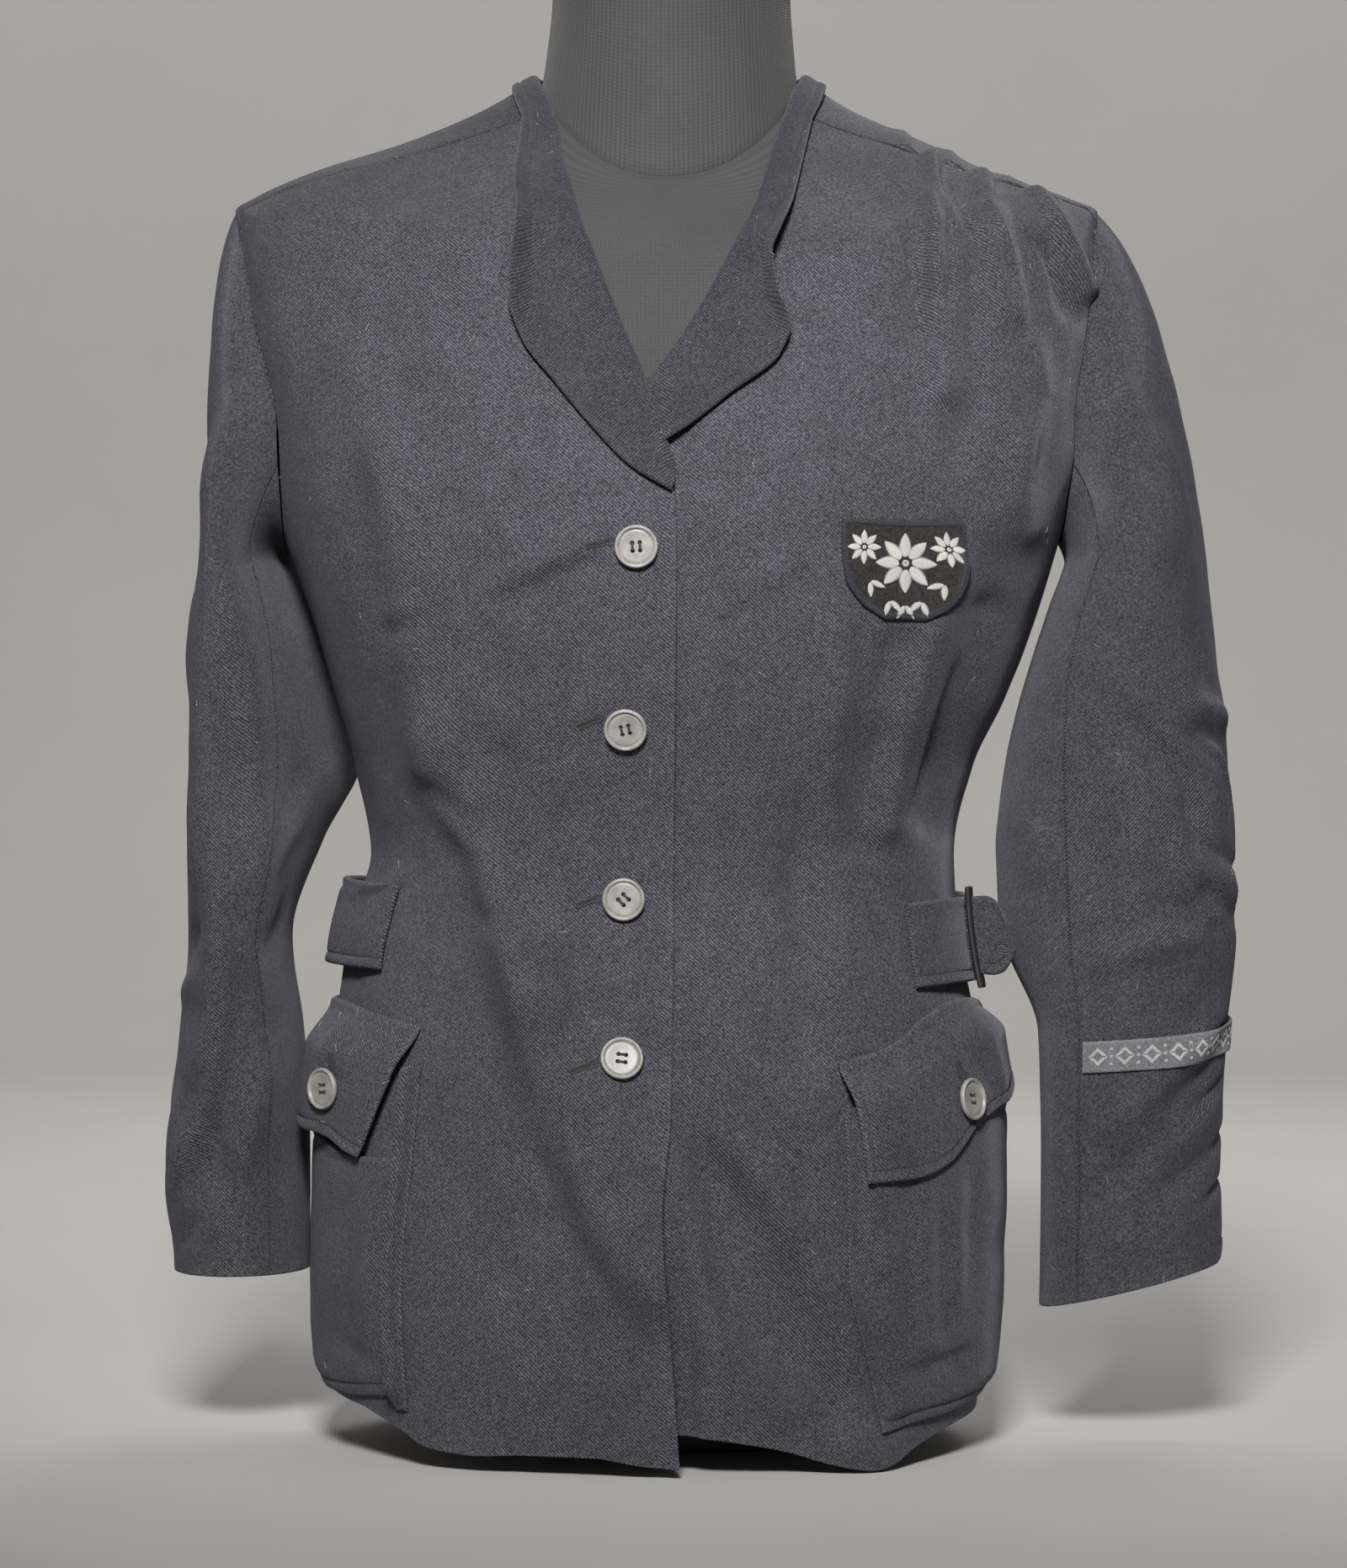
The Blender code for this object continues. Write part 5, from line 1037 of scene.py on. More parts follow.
def keeperAndTab():
    keeper, look = beltKeeper, tabLook
    angle = np.linspace(keeper["angle"] - 2.0, keeper["angle"] + 2.4, 12)
    share = evenShares(keeper["high"] - keeper["low"], 1.6, (0.5, 1.0))[:, None]
    level = keeper["low"] + (keeper["high"] - keeper["low"]) * share + 0 * angle
    points, normals = onCloth(np.stack([angle + 0 * level, level], -1), keeper["lift"] + wallDouble, wallDouble)
    # Its near-black colour is partly painted shade of the gap between the strap and the tab.
    shell("belt_keeper", points, normals, wallDouble, unstitched, slideAndGapShade)
    along = evenShares(look["length"], 1.2, (0.4, 0.9)) * look["length"]
    share = withLines(evenShares(look["width"], 1.6), look["width"], [look["sides"]]) * 2 - 1
    out = bodyNormal(np.array([keeper["angle"]]), np.array([beltTabLevel]))[0]
    level = beltTabLevel + share[:, None] * beltTab["half_height"][0]
    under = bodyLift(keeper["angle"], level)
    stand = (keeper["lift"] + under + 0.2 + 2 * wallDouble) * mm
    root = bodyPoint(keeper["angle"], level) + out * stand[..., None]
    outer = root + (out * along[:, None])[None] * mm
    outer[..., 2] = (beltTabLevel + share[:, None] * read(beltTab, "along", "half_height", along)) * mm
    facingWay = np.broadcast_to(unit(np.cross(out, [0.0, 0.0, 1.0])), outer.shape)
    curl = 1.2 * ease(along, 4, 17) * np.cos(share[:, None] * 1.4)
    outer = raised(outer, facingWay, wallDouble / 2 + curl)
    edges = (None, look["end"], look["sides"], look["sides"])
    shell("belt_tab", outer, facingWay, wallDouble, edges, beltCloth)


patchWall, bandWall = 1.4, 1.2


def patchPiece():
    heights = patchOutline["z"][-1] + (patchOutline["z"][0] - patchOutline["z"][-1]) * evenShares(46, 1.2)
    share = evenShares(58, 1.2)[None]
    left, right = read(patchOutline, "z", "left", heights), read(patchOutline, "z", "right", heights)
    x = left[:, None] * (1 - share) + right[:, None] * share
    grid = onFront(x, np.broadcast_to(heights[:, None], x.shape))
    points, normals = onCloth(grid, 0.6, patchWall)
    return shell("chest_patch", points, normals, patchWall, unstitched, patchCloth)


def bandShares():
    # Heights on the cuff band from its middle, as shares of its height.
    return evenShares(cuffBandHeight, 1.0, (0.3, 0.7)) - 0.5


def bandGrid(steps, points, normals):
    # The cuff band's points on the left sleeve, and its normals.
    chosen = evenAlong(points[80], steps, 1.5)
    chosen = chosen[(chosen >= cuffBand["step"][0]) & (chosen <= cuffBand["step"][-1])]
    heights = read(cuffBand, "step", "z", chosen) + bandShares()[:, None] * cuffBandHeight
    made, facingWay = np.zeros((*heights.shape, 3)), np.zeros((*heights.shape, 3))
    for i, step in enumerate(chosen):
        right = int(np.clip(np.searchsorted(steps, step), 1, len(steps) - 1))
        share = (step - steps[right - 1]) / (steps[right] - steps[right - 1])
        path = points[:, right - 1] * (1 - share) + points[:, right] * share
        way = normals[:, right - 1] * (1 - share) + normals[:, right] * share
        for axis in range(3):
            made[:, i, axis] = np.interp(heights[:, i] * mm, path[::-1, 2], path[::-1, axis])
            facingWay[:, i, axis] = np.interp(heights[:, i] * mm, path[::-1, 2], way[::-1, axis])
    facingWay = unit(facingWay)
    return made + facingWay * 2.1 * mm, facingWay


# Stitches, thread and lint: points with a direction, a facing and a size, turned into thread by Geometry Nodes.


def samplePath(path, facingWay, step, length, width, height=0.3):
    # Stitches along a path: their places, directions, facings and sizes. None where the path is too short.
    gone = wayAlong(path)
    if gone[-1] < step:
        return None
    at = np.arange(step / 2, gone[-1], step)

    def found(values, shift=0.0):
        return np.stack([np.interp(at + shift, gone, values[:, i]) for i in range(3)], -1)

    way = unit(found(path, 0.4) - found(path, -0.4))
    size = np.tile([length, width, height], (len(at), 1))
    return np.concatenate([found(path), way, unit(found(facingWay)), size * mm], 1)


stitchLook = dict(pitch=3.0, length=2.2, width=0.42, clear=2.6)


def stitchEdge(outer, normals, distance, others, stitched):
    # One row of topstitching along an edge that is given as distances over the grid.
    path, way = [], []
    for i in range(len(distance)):
        order = np.argsort(distance[i])

        def found(values):
            return np.interp(stitched, distance[i][order], values[i][order])

        if min(found(other) for other in others) > stitchLook["clear"] and distance[i].max() > stitched + 1:
            path.append([found(outer[..., k]) for k in range(3)])
            way.append([found(normals[..., k]) for k in range(3)])
    if len(path) > 3:
        sizes = [stitchLook[key] for key in ("pitch", "length", "width")]
        made = samplePath(np.array(path), np.array(way), *sizes)
        if made is not None:
            topstitches.append(made)


def stitchEdges(outer, normals, edges):
    away = edgeDistances(outer)
    for k, stitched in enumerate(edges):
        if not stitched:
            continue
        others = [away[j] for j in range(4) if j // 2 != k // 2]
        turned = (lambda grid: grid) if k < 2 else (lambda grid: np.swapaxes(grid, 0, 1))
        stitchEdge(turned(outer), turned(normals), turned(away[k]), [turned(other) for other in others], stitched)


def threadGroup():
    group = bpy.data.node_groups.new("threads", "GeometryNodeTree")
    group.interface.new_socket("Geometry", in_out="INPUT", socket_type="NodeSocketGeometry")
    group.interface.new_socket("Thread", in_out="INPUT", socket_type="NodeSocketMaterial")
    group.interface.new_socket("Geometry", in_out="OUTPUT", socket_type="NodeSocketGeometry")
    add, link = group.nodes.new, group.links.new
    start, end = add("NodeGroupInput"), add("NodeGroupOutput")
    strand = add("GeometryNodeMeshUVSphere")
    for key, value in (("Segments", 6), ("Rings", 4), ("Radius", 0.5)):
        strand.inputs[key].default_value = value
    fields = {}
    for name in ("along", "facing", "size"):
        fields[name] = add("GeometryNodeInputNamedAttribute")
        fields[name].data_type = "FLOAT_VECTOR"
        fields[name].inputs["Name"].default_value = name
    turn = add("FunctionNodeAxesToRotation")
    turn.primary_axis, turn.secondary_axis = "X", "Z"
    link(fields["along"].outputs["Attribute"], turn.inputs["Primary Axis"])
    link(fields["facing"].outputs["Attribute"], turn.inputs["Secondary Axis"])
    spread = add("GeometryNodeInstanceOnPoints")
    link(start.outputs["Geometry"], spread.inputs["Points"])
    link(strand.outputs["Mesh"], spread.inputs["Instance"])
    link(turn.outputs["Rotation"], spread.inputs["Rotation"])
    link(fields["size"].outputs["Attribute"], spread.inputs["Scale"])
    real, paint = add("GeometryNodeRealizeInstances"), add("GeometryNodeSetMaterial")
    link(spread.outputs["Instances"], real.inputs["Geometry"])
    link(real.outputs["Geometry"], paint.inputs["Geometry"])
    link(start.outputs["Thread"], paint.inputs["Material"])
    link(paint.outputs["Geometry"], end.inputs["Geometry"])
    return group


def threadPiece(name, rows, made):
    rows = np.concatenate(rows)
    mesh = bpy.data.meshes.new(name)
    mesh.from_pydata(rows[:, :3].tolist(), [], [])
    for i, part in enumerate(("along", "facing", "size"), 1):
        layer = mesh.attributes.new(part, "FLOAT_VECTOR", "POINT")
        layer.data.foreach_set("vector", rows[:, 3 * i : 3 * i + 3].ravel())
    source = placed(name + "_points", mesh)
    nodes = source.modifiers.new("threads", "NODES")
    nodes.node_group = threads
    nodes[threads.interface.items_tree["Thread"].identifier] = made
    real = baked(source)
    real.name = name
    real.shade_smooth()
    return finishPiece(placed(name, real), made)


def onFrontCloth(x, z, lift):
    return onCloth(onFront(x, z), lift, 0.0)


def motif(surface, centre, lines, width, lift):
    # Straight stitches between pairs of points (x0, z0, x1, z1) round a centre, laid on a surface.
    lines = np.array(lines, float)
    first, _ = surface(lines[:, 0] + centre[0], lines[:, 1] + centre[1], lift)
    last, face = surface(lines[:, 2] + centre[0], lines[:, 3] + centre[1], lift)
    length = np.linalg.norm(last - first, axis=1)
    size = np.stack([length * 1.05, np.full(len(length), width * mm), np.full(len(length), 0.75 * width * mm)], -1)
    return np.concatenate([(first + last) / 2, unit(last - first), face, size], 1)


def petal(turn, start, length, width, step):
    # Satin stitches across a petal that starts at a distance from the middle.
    way = np.array([math.sin(turn), math.cos(turn)])
    side = np.array([way[1], -way[0]])
    lines = []
    for t in np.arange(0.04, 1.0, step / length):
        half = width / 2 * math.sin(math.pi * t**0.8) ** 0.7
        middle = way * (start + length * t)
        lines.append([*(middle - side * half), *(middle + side * half + way * 0.5)])
    return lines


# Materials.


def nodeTools(name):
    # A new material, its shader and short ways to add and join nodes.
    made = bpy.data.materials.new(name)
    made.use_nodes = True
    tree = made.node_tree
    shader = tree.nodes["Principled BSDF"]

    def add(kind, **values):
        node = tree.nodes.new(kind)
        for key, value in values.items():
            if key in node.inputs:
                node.inputs[key].default_value = value
            else:
                setattr(node, key, value)
        return node

    def join(source, target):
        tree.links.new(source, target)

    def sums(operation, first, second, third=None):
        node = tree.nodes.new("ShaderNodeMath")
        node.operation = operation
        for slotAt, value in enumerate((first, second, third)):
            if value is None:
                continue
            if isinstance(value, (int, float)):
                node.inputs[slotAt].default_value = value
            else:
                join(value, node.inputs[slotAt])
        return node.outputs[0]

    def varied(source, amount):
        # A factor round 1 that varies by an amount.
        return sums("MULTIPLY_ADD", source, amount, 1.0 - amount / 2)

    def noise(scale, detail, roughness=0.6):
        node = add("ShaderNodeTexNoise", Scale=scale, Detail=detail, Roughness=roughness)
        join(add("ShaderNodeTexCoord").outputs["Object"], node.inputs["Vector"])
        return node.outputs["Fac"]

    def bump(height, strength, distance):
        node = add("ShaderNodeBump", Strength=strength, Distance=distance)
        join(height, node.inputs["Height"])
        join(node.outputs["Normal"], shader.inputs["Normal"])

    def grain():
        # Lengths of cloth, across and up.
        split = add("ShaderNodeSeparateXYZ")
        join(add("ShaderNodeUVMap", uv_map="cloth").outputs["UV"], split.inputs["Vector"])
        return split.outputs["X"], split.outputs["Y"]

    return made, shader, add, join, sums, bump, varied, noise, grain


def clothMaterial(name, look):
    # Wool twill: diagonal lines, a melange of darker and paler fibres, soft mottling, pale wear at free edges and
    # painted shade along seams.
    made, shader, add, join, sums, bump, varied, noise, grain = nodeTools(name)
    fibres = noise(look["fibre"], 3.0)
    mottle, broad = noise(60.0, 3.0), noise(13.0, 2.0)
    wobble = sums("MULTIPLY", fibres, 2.6)
    diagonal = sums("MULTIPLY", sums("ADD", *grain()), 2 * math.pi / look["twill"])
    ribs = sums("MULTIPLY_ADD", sums("SINE", sums("ADD", diagonal, wobble), None), 0.5, 0.5)
    value = varied(ribs, look["ribs"])
    value = sums("MULTIPLY", value, sums("MAXIMUM", varied(fibres, look["melange"]), 0.12))
    value = sums("MULTIPLY", value, varied(mottle, look["mottle"]))
    value = sums("MULTIPLY", value, varied(broad, look["broad"]))
    # Pale wear at free edges and painted shade along seams, from each piece's attribute.
    worn = add("ShaderNodeAttribute", attribute_name="worn").outputs["Fac"]
    value = sums("MULTIPLY", value, sums("MULTIPLY_ADD", worn, look["worn"], 1.0))
    # Paler fibres are greyer and darker ones bluer, as in a melange yarn.
    tone = add("ShaderNodeMix", data_type="RGBA")
    join(fibres, tone.inputs["Factor"])
    tone.inputs["A"].default_value = (*look["deep"], 1.0)
    tone.inputs["B"].default_value = (*look["pale"], 1.0)
    mixed = add("ShaderNodeVectorMath", operation="SCALE")
    join(tone.outputs["Result"], mixed.inputs[0])
    join(value, mixed.inputs["Scale"])
    join(mixed.outputs["Vector"], shader.inputs["Base Color"])
    height = sums("ADD", sums("MULTIPLY", ribs, look["relief"]), sums("MULTIPLY", fibres, look["relief"] * 1.1))
    height = sums("ADD", height, sums("MULTIPLY", mottle, look["relief"] * 3.0))
    bump(height, 0.75, 0.001)
    join(sums("MULTIPLY_ADD", mottle, 0.14, look["roughness"] - 0.07), shader.inputs["Roughness"])
    shader.inputs["Specular IOR Level"].default_value = 0.25
    shader.inputs["Sheen Weight"].default_value = look["sheen"]
    shader.inputs["Sheen Roughness"].default_value = 0.45
    shader.inputs["Sheen Tint"].default_value = (0.72, 0.74, 0.82, 1.0)
    return made


def plainMaterial(name, colour, roughness, noiseScale, spread, relief, sheen=0.0, stretch=(1, 1, 1)):
    # One colour that varies a little, with a fine relief: thread, plastic, wood or paper.
    made, shader, add, join, sums, bump, *_ = nodeTools(name)
    place = add("ShaderNodeMapping")
    place.inputs["Scale"].default_value = stretch
    join(add("ShaderNodeTexCoord").outputs["Object"], place.inputs["Vector"])
    noise = add("ShaderNodeTexNoise", Scale=noiseScale, Detail=4.0, Roughness=0.6)
    join(place.outputs["Vector"], noise.inputs["Vector"])
    ramp = add("ShaderNodeValToRGB")
    for end, position, factor in zip(ramp.color_ramp.elements, (0.3, 0.7), (1 - spread, 1 + spread)):
        end.position, end.color = position, (*[min(1.0, c * factor) for c in colour], 1.0)
    join(noise.outputs["Fac"], ramp.inputs["Fac"])
    join(ramp.outputs["Color"], shader.inputs["Base Color"])
    bump(noise.outputs["Fac"], 0.6, relief)
    join(sums("MULTIPLY_ADD", noise.outputs["Fac"], 0.12, roughness - 0.06), shader.inputs["Roughness"])
    shader.inputs["Sheen Weight"].default_value = sheen
    return made


def jerseyMaterial(name, look):
    # The form's cover: knit wales on the neck and a small dotted weave below the neck seam.
    made, shader, add, join, sums, bump, varied, noise, grain = nodeTools(name)
    fine, broad = noise(1500.0, 3.0, 0.5), noise(26.0, 3.0, 0.5)
    across, up = grain()

    def wave(source, pitch):
        return sums("MULTIPLY_ADD", sums("SINE", sums("MULTIPLY", source, 2 * math.pi / pitch), None), 0.5, 0.5)

    wales = sums("MULTIPLY_ADD", wave(up, 0.0019), 0.2, sums("MULTIPLY", wave(across, look["wale"]), 0.5))
    dots = sums("MULTIPLY", sums("MULTIPLY", wave(across, look["dot"]), wave(up, look["dot"])), 0.8)
    isNeck = add("ShaderNodeAttribute", attribute_name="neck").outputs["Fac"]
    pick = add("ShaderNodeMix", data_type="FLOAT")
    join(isNeck, pick.inputs["Factor"])
    join(dots, pick.inputs["A"])
    join(wales, pick.inputs["B"])
    relief = pick.outputs["Result"]
    value = sums("MULTIPLY", varied(relief, look["contrast"]), varied(fine, 0.7))
    value = sums("MULTIPLY", value, varied(broad, 0.3))
    spread = add("ShaderNodeCombineColor")
    for channel, part in zip(("Red", "Green", "Blue"), look["colour"]):
        join(sums("MULTIPLY", value, part), spread.inputs[channel])
    join(spread.outputs["Color"], shader.inputs["Base Color"])
    bump(sums("ADD", relief, sums("MULTIPLY", fine, 0.5)), 0.7, 0.0006)
    shader.inputs["Roughness"].default_value = 0.85
    shader.inputs["Sheen Weight"].default_value = 0.15
    return made


woolLook = dict(
    deep=(0.032, 0.0315, 0.053), pale=(0.097, 0.0955, 0.108), twill=0.0018, ribs=0.85, fibre=900.0, melange=2.9,
    mottle=0.55, broad=0.4, worn=0.2, relief=0.4, roughness=0.9, sheen=0.16,
)
twill = clothMaterial("wool_twill", woolLook)
facing = clothMaterial(
    "wool_facing", woolLook | dict(deep=(0.021, 0.0205, 0.035), pale=(0.066, 0.0645, 0.075), melange=2.4, mottle=0.6)
)
beltCloth = clothMaterial(
    "belt_wool", woolLook | dict(twill=0.0016, worn=0.1, deep=(0.027, 0.027, 0.045), pale=(0.085, 0.083, 0.094))
)
patchCloth = clothMaterial(
    "patch_ground", woolLook | dict(deep=(0.018, 0.015, 0.016), pale=(0.045, 0.040, 0.040), twill=0.0011)
)
bandCloth = clothMaterial(
    "band_weave",
    woolLook | dict(deep=(0.14, 0.14, 0.16), pale=(0.25, 0.25, 0.27), twill=0.0010, ribs=0.5, melange=1.2),
)
jersey = jerseyMaterial("form_jersey", dict(colour=(0.062, 0.0615, 0.064), wale=0.0023, dot=0.0019, contrast=0.42))
threadDark = plainMaterial("topstitch_thread", (0.030, 0.029, 0.038), 0.7, 2500.0, 0.3, 0.0002, 0.2)
# The buttonholes' slits: near-black, painted shade in the opening.
paintedSlitShade = plainMaterial("slit_shade", (0.008, 0.008, 0.011), 0.75, 2500.0, 0.3, 0.0002, 0.2)
threadGrey = plainMaterial("buttonhole_thread", (0.026, 0.026, 0.028), 0.75, 2500.0, 0.35, 0.0002, 0.2)
threadPale = plainMaterial("tacking_thread", (0.36, 0.35, 0.34), 0.75, 2500.0, 0.25, 0.0002, 0.2)
threadSilver = plainMaterial("satin_thread", (0.50, 0.49, 0.47), 0.45, 2500.0, 0.2, 0.0002, 0.1)
threadNavy = plainMaterial("border_thread", (0.018, 0.019, 0.033), 0.7, 2500.0, 0.4, 0.0002, 0.2)
lintFibre = plainMaterial("lint_fibre", (0.42, 0.41, 0.41), 0.8, 900.0, 0.4, 0.0001, 0.2)
buttonPlastic = plainMaterial("button_plastic", (0.30, 0.29, 0.275), 0.38, 160.0, 0.25, 0.00012)
# The belt's slide: near-black, partly its own dark colour and partly painted shade of the gap between strap and tab.
slideAndGapShade = plainMaterial("belt_slide_and_painted_gap_shade", (0.020, 0.019, 0.020), 0.6, 240.0, 0.2, 0.0001)
plinthWood = plainMaterial("plinth_wood", (0.050, 0.040, 0.032), 0.5, 40.0, 0.35, 0.0003, 0.0, (1, 9, 9))

threads = threadGroup()
topstitches = []
armholes = buildArmholes()
print("materials ready")


# Building the jacket.


panelStep = 2.6  # between a panel's points; the back's are a little further apart
allRows = float(sideRows + topRows)


def buildFront(name, side, edge, hem, lift):
    rows, u = evenly(lambda r, c: frontGrid(side, edge, hem, r, c), allRows, 1.0, panelStep)
    return bodyPanel(name, frontGrid(side, edge, hem, rows, u), lift)


def widen(edge, side):
    # Above the break the lapel's cloth turns round the front's edge, so the front itself ends a little earlier.
    moved = dict(edge)
    moved["x"] = edge["x"] + side * 3.2 * ease(edge["z"], 455, 480)
    return moved


buildFront("front_right", -1, widen(rightFrontEdge, -1), rightHem, rightLift)
buildFront("front_left", 1, widen(leftFrontEdge, 1), leftHem, leftLift)
bodyPanel("back", backGrid(*evenly(backGrid, allRows, 1.0, 2.8)), bodyLift)
yokeSteps = 2.0 * (yokeBackStep - yokeFrontStep) + yokeBackSteps
bodyPanel("yoke", yokeGrid(*evenly(yokeGrid, 1.0, yokeSteps, panelStep)), yokeLift)
print("fronts, back and yoke ready")

sleeves = {}
for side, word in ((-1, "right"), (1, "left")):
    sleeves[side] = steps, points, normals = sleeveGrid(side)
    seamAt = int(np.argmin(np.abs(steps - sleeveBackSeam)))
    for part, columns in (("upper", slice(0, seamAt + 1)), ("under", slice(seamAt, None))):
        piece = pullIn(points[:, columns])
        shell(f"sleeve_{word}_{part}", piece, normals[:, columns], wallPanel, unstitched, twill)
print("sleeves ready")

# Each lapel's side and table, how far its cloth turns inwards at places up its length, and where its edge curls.
lapels = {
    "lapel_right": (-1, rightLapel, ([0, 2.5, 10, 13.5], [25, 150, 150, 70]), ([5, 7.5, 11, 13.5], [0, 1, 1, 0])),
    "lapel_left": (
        1, leftLapel, ([0, 2.5, 4.5, 10, 13.5], [5, 10, 140, 150, 70]), ([5.5, 7.5, 10.5, 12], [0, 1, 1, 0]),
    ),
}
for name, settings in lapels.items():
    lapelPiece(name, *settings)


collarLook = dict(start=86.4, end=273.6, columns=120, turned=70)


def collarPiece():
    look = collarLook
    angles = np.linspace(look["start"], look["end"], look["columns"])
    levels = neckLevel - collarWidth * (1 - evenShares(9, 0.8, (0.4, 0.9)))
    grid = np.stack(np.meshgrid(angles, levels, indexing="ij"), -1)[:, ::-1]
    uneven = 0.25 * softNoise(np.stack([angles] * 3, -1), 9, 8)
    flat, normals = onCloth(grid, lapelStand + uneven[:, None], wallDouble)
    points, normals = wrapped(flat, normals, ([0, 1], [look["turned"]] * 2), 0 * angles)
    return shell("collar_back", points, normals, wallDouble, unstitched, facing)


collarPiece()
pocketPiece("pocket_left", leftPocket, 1)
pocketPiece("pocket_right", rightPocket, -1)
flapNodes = {1: "flap_left", -1: "flap_right"}
flapPiece("flap_left", leftFlap, 1, leftFlapPlane)
flapPiece("flap_right", rightFlap, -1, rightFlapPlane)
for name, rows in beltPieces.items():
    beltPiece(name, rows)
keeperAndTab()
patchPiece()
bandPoints, bandNormals = bandGrid(*sleeves[1])
shell("cuff_band", bandPoints, bandNormals, bandWall, unstitched, bandCloth)
print("lapels, collar, pockets, flaps, belt, patch and band ready")


# Buttons: a turned profile with a raised rim, four holes and two pairs of thread.

buttonLook = dict(sides=72, radius=10.0, height=3.4, shank=0.8, holeRadius=1.05, holeAway=1.75)
# How far each button is turned, in degrees.
buttonTurns = {
    "button_front_1": 4, "button_front_2": 12, "button_front_3": 46, "button_front_4": 82,
    "button_pocket_left": 88, "button_pocket_right": 92,
}


def buttonMesh():
    profile = [
        (0.0, 0.66), (0.30, 0.65), (0.56, 0.67), (0.70, 0.71), (0.755, 0.70), (0.785, 0.62),
        (0.81, 0.70), (0.835, 0.87), (0.87, 0.96), (0.91, 1.0), (0.95, 0.95), (0.985, 0.80),
        (1.0, 0.62), (0.985, 0.42), (0.94, 0.22), (0.85, 0.08), (0.6, 0.03), (0.0, 0.0),
    ]
    # Radii and heights of the profile are shares of the button's own.
    look = buttonLook
    bm = bmesh.new()
    spots = [(r * look["radius"] * mm, 0, (look["shank"] + h * look["height"]) * mm) for r, h in profile]
    chain = [bm.verts.new(spot) for spot in spots]
    for lower, upper in zip(chain, chain[1:]):
        bm.edges.new((lower, upper))
    bmesh.ops.spin(
        bm, geom=bm.verts[:] + bm.edges[:], axis=(0, 0, 1), cent=(0, 0, 0),
        angle=2 * math.pi, steps=look["sides"], use_merge=True,
    )
    bmesh.ops.remove_doubles(bm, verts=bm.verts, dist=0.005 * mm)
    bmesh.ops.recalc_face_normals(bm, faces=bm.faces)
    mesh = bpy.data.meshes.new("button")
    bm.to_mesh(mesh)
    bm.free()
    whole = placed("button_whole", mesh)
    cutters = bmesh.new()
    radius = look["holeRadius"] * mm
    for x, y in ((1, 1), (1, -1), (-1, 1), (-1, -1)):
        made = bmesh.ops.create_cone(
            cutters, cap_ends=True, segments=20, radius1=radius, radius2=radius, depth=9 * mm
        )
        offset = (x * look["holeAway"] * mm, y * look["holeAway"] * mm, 2.5 * mm)
        bmesh.ops.translate(cutters, verts=made["verts"], vec=offset)
    drill = bpy.data.meshes.new("holes")
    cutters.to_mesh(drill)
    cutters.free()
    holes = placed("button_holes", drill)
    cut = whole.modifiers.new("holes", "BOOLEAN")
    cut.object, cut.solver = holes, "EXACT"
    result = baked(whole)
    bpy.data.objects.remove(holes, do_unlink=True)
    return result


trees = {}


def frontOf(name, x, z):
    # The foremost point of a piece at x and z, and its normal there.
    if name not in trees:
        mesh = dressed[name].data
        trees[name] = BVHTree.FromPolygons([v.co for v in mesh.vertices], [f.vertices for f in mesh.polygons])
    place, normal, _, _ = trees[name].ray_cast(Vector((x * mm, -1.0, z * mm)), Vector((0.0, 1.0, 0.0)))
    assert place is not None, f"{name} isn't at {x}, {z}"
    return np.array(place), np.array(normal)


def buttonAt(name, carrier, x, z, master, threadRows):
    place, _ = frontOf(carrier, x, z)
    turns = np.radians(np.arange(0, 360, 45))
    around = [frontOf(carrier, x + 6.5 * math.cos(t), z + 6.5 * math.sin(t)) for t in turns]
    axis = unit(np.mean([normal for _, normal in around], 0))
    place = place + axis * max(0.0, 0.6 * max((spot - place) @ axis for spot, _ in around))
    turn = math.radians(buttonTurns[name])
    side = unit(np.cross([0.0, 0.0, 1.0], axis))
    up = np.cross(axis, side)
    across, along = side * math.cos(turn) + up * math.sin(turn), up * math.cos(turn) - side * math.sin(turn)
    place = place - axis * 0.3 * mm
    mesh = master.copy()
    mesh.name = name
    spots = np.empty(len(mesh.vertices) * 3)
    mesh.vertices.foreach_get("co", spots)
    spots = spots.reshape(-1, 3)
    spots = place + spots[:, :1] * across + spots[:, 1:2] * along + spots[:, 2:] * axis
    mesh.vertices.foreach_set("co", spots.ravel())
    mesh.shade_smooth()
    mesh.set_sharp_from_angle(angle=math.radians(50))
    piece = finishPiece(placed(f"{name}_piece", mesh), buttonPlastic, [name])
    lift = (buttonLook["shank"] + 0.66 * buttonLook["height"]) * mm
    away = buttonLook["holeAway"] * mm
    for which in (-1, 1):
        for offset in (-0.42, 0.0, 0.42):
            middle = place + axis * lift + across * (which * away + offset * mm)
            size = [2 * away + 1.3 * mm, 0.5 * mm, 0.75 * mm]
            threadRows.append(np.array([[*middle, *along, *axis, *size]]))
    return piece


buttonThreads = []
master = buttonMesh()
for i, (x, z) in enumerate(zip(frontButtons["x"], frontButtons["z"]), 1):
    buttonAt(f"button_front_{i}", "front_right", x, z, master, buttonThreads)
for name, (side, x, z) in pocketButtons.items():
    buttonAt(name, flapNodes[side], side * x, z, master, buttonThreads)
threadPiece("button_threads", buttonThreads, threadDark)
print("buttons ready")

# Buttonholes: two rows of closely worked thread with a slit between them and a round eye at one end. The slit is a
# row of near-black stitches: painted shade in the opening.
# Each one's eye and far end are given as the front shows them.
buttonholes = [(-24.5, 429.5, -36, 427), (-30, 349, -40, 344.5), (-31, 265.5, -41, 262), (-32, 189, -43, 185)]
holeLook = dict(pitch=0.42, thread=0.55, slitPitch=0.8, slitThread=0.62)
slitRows = []


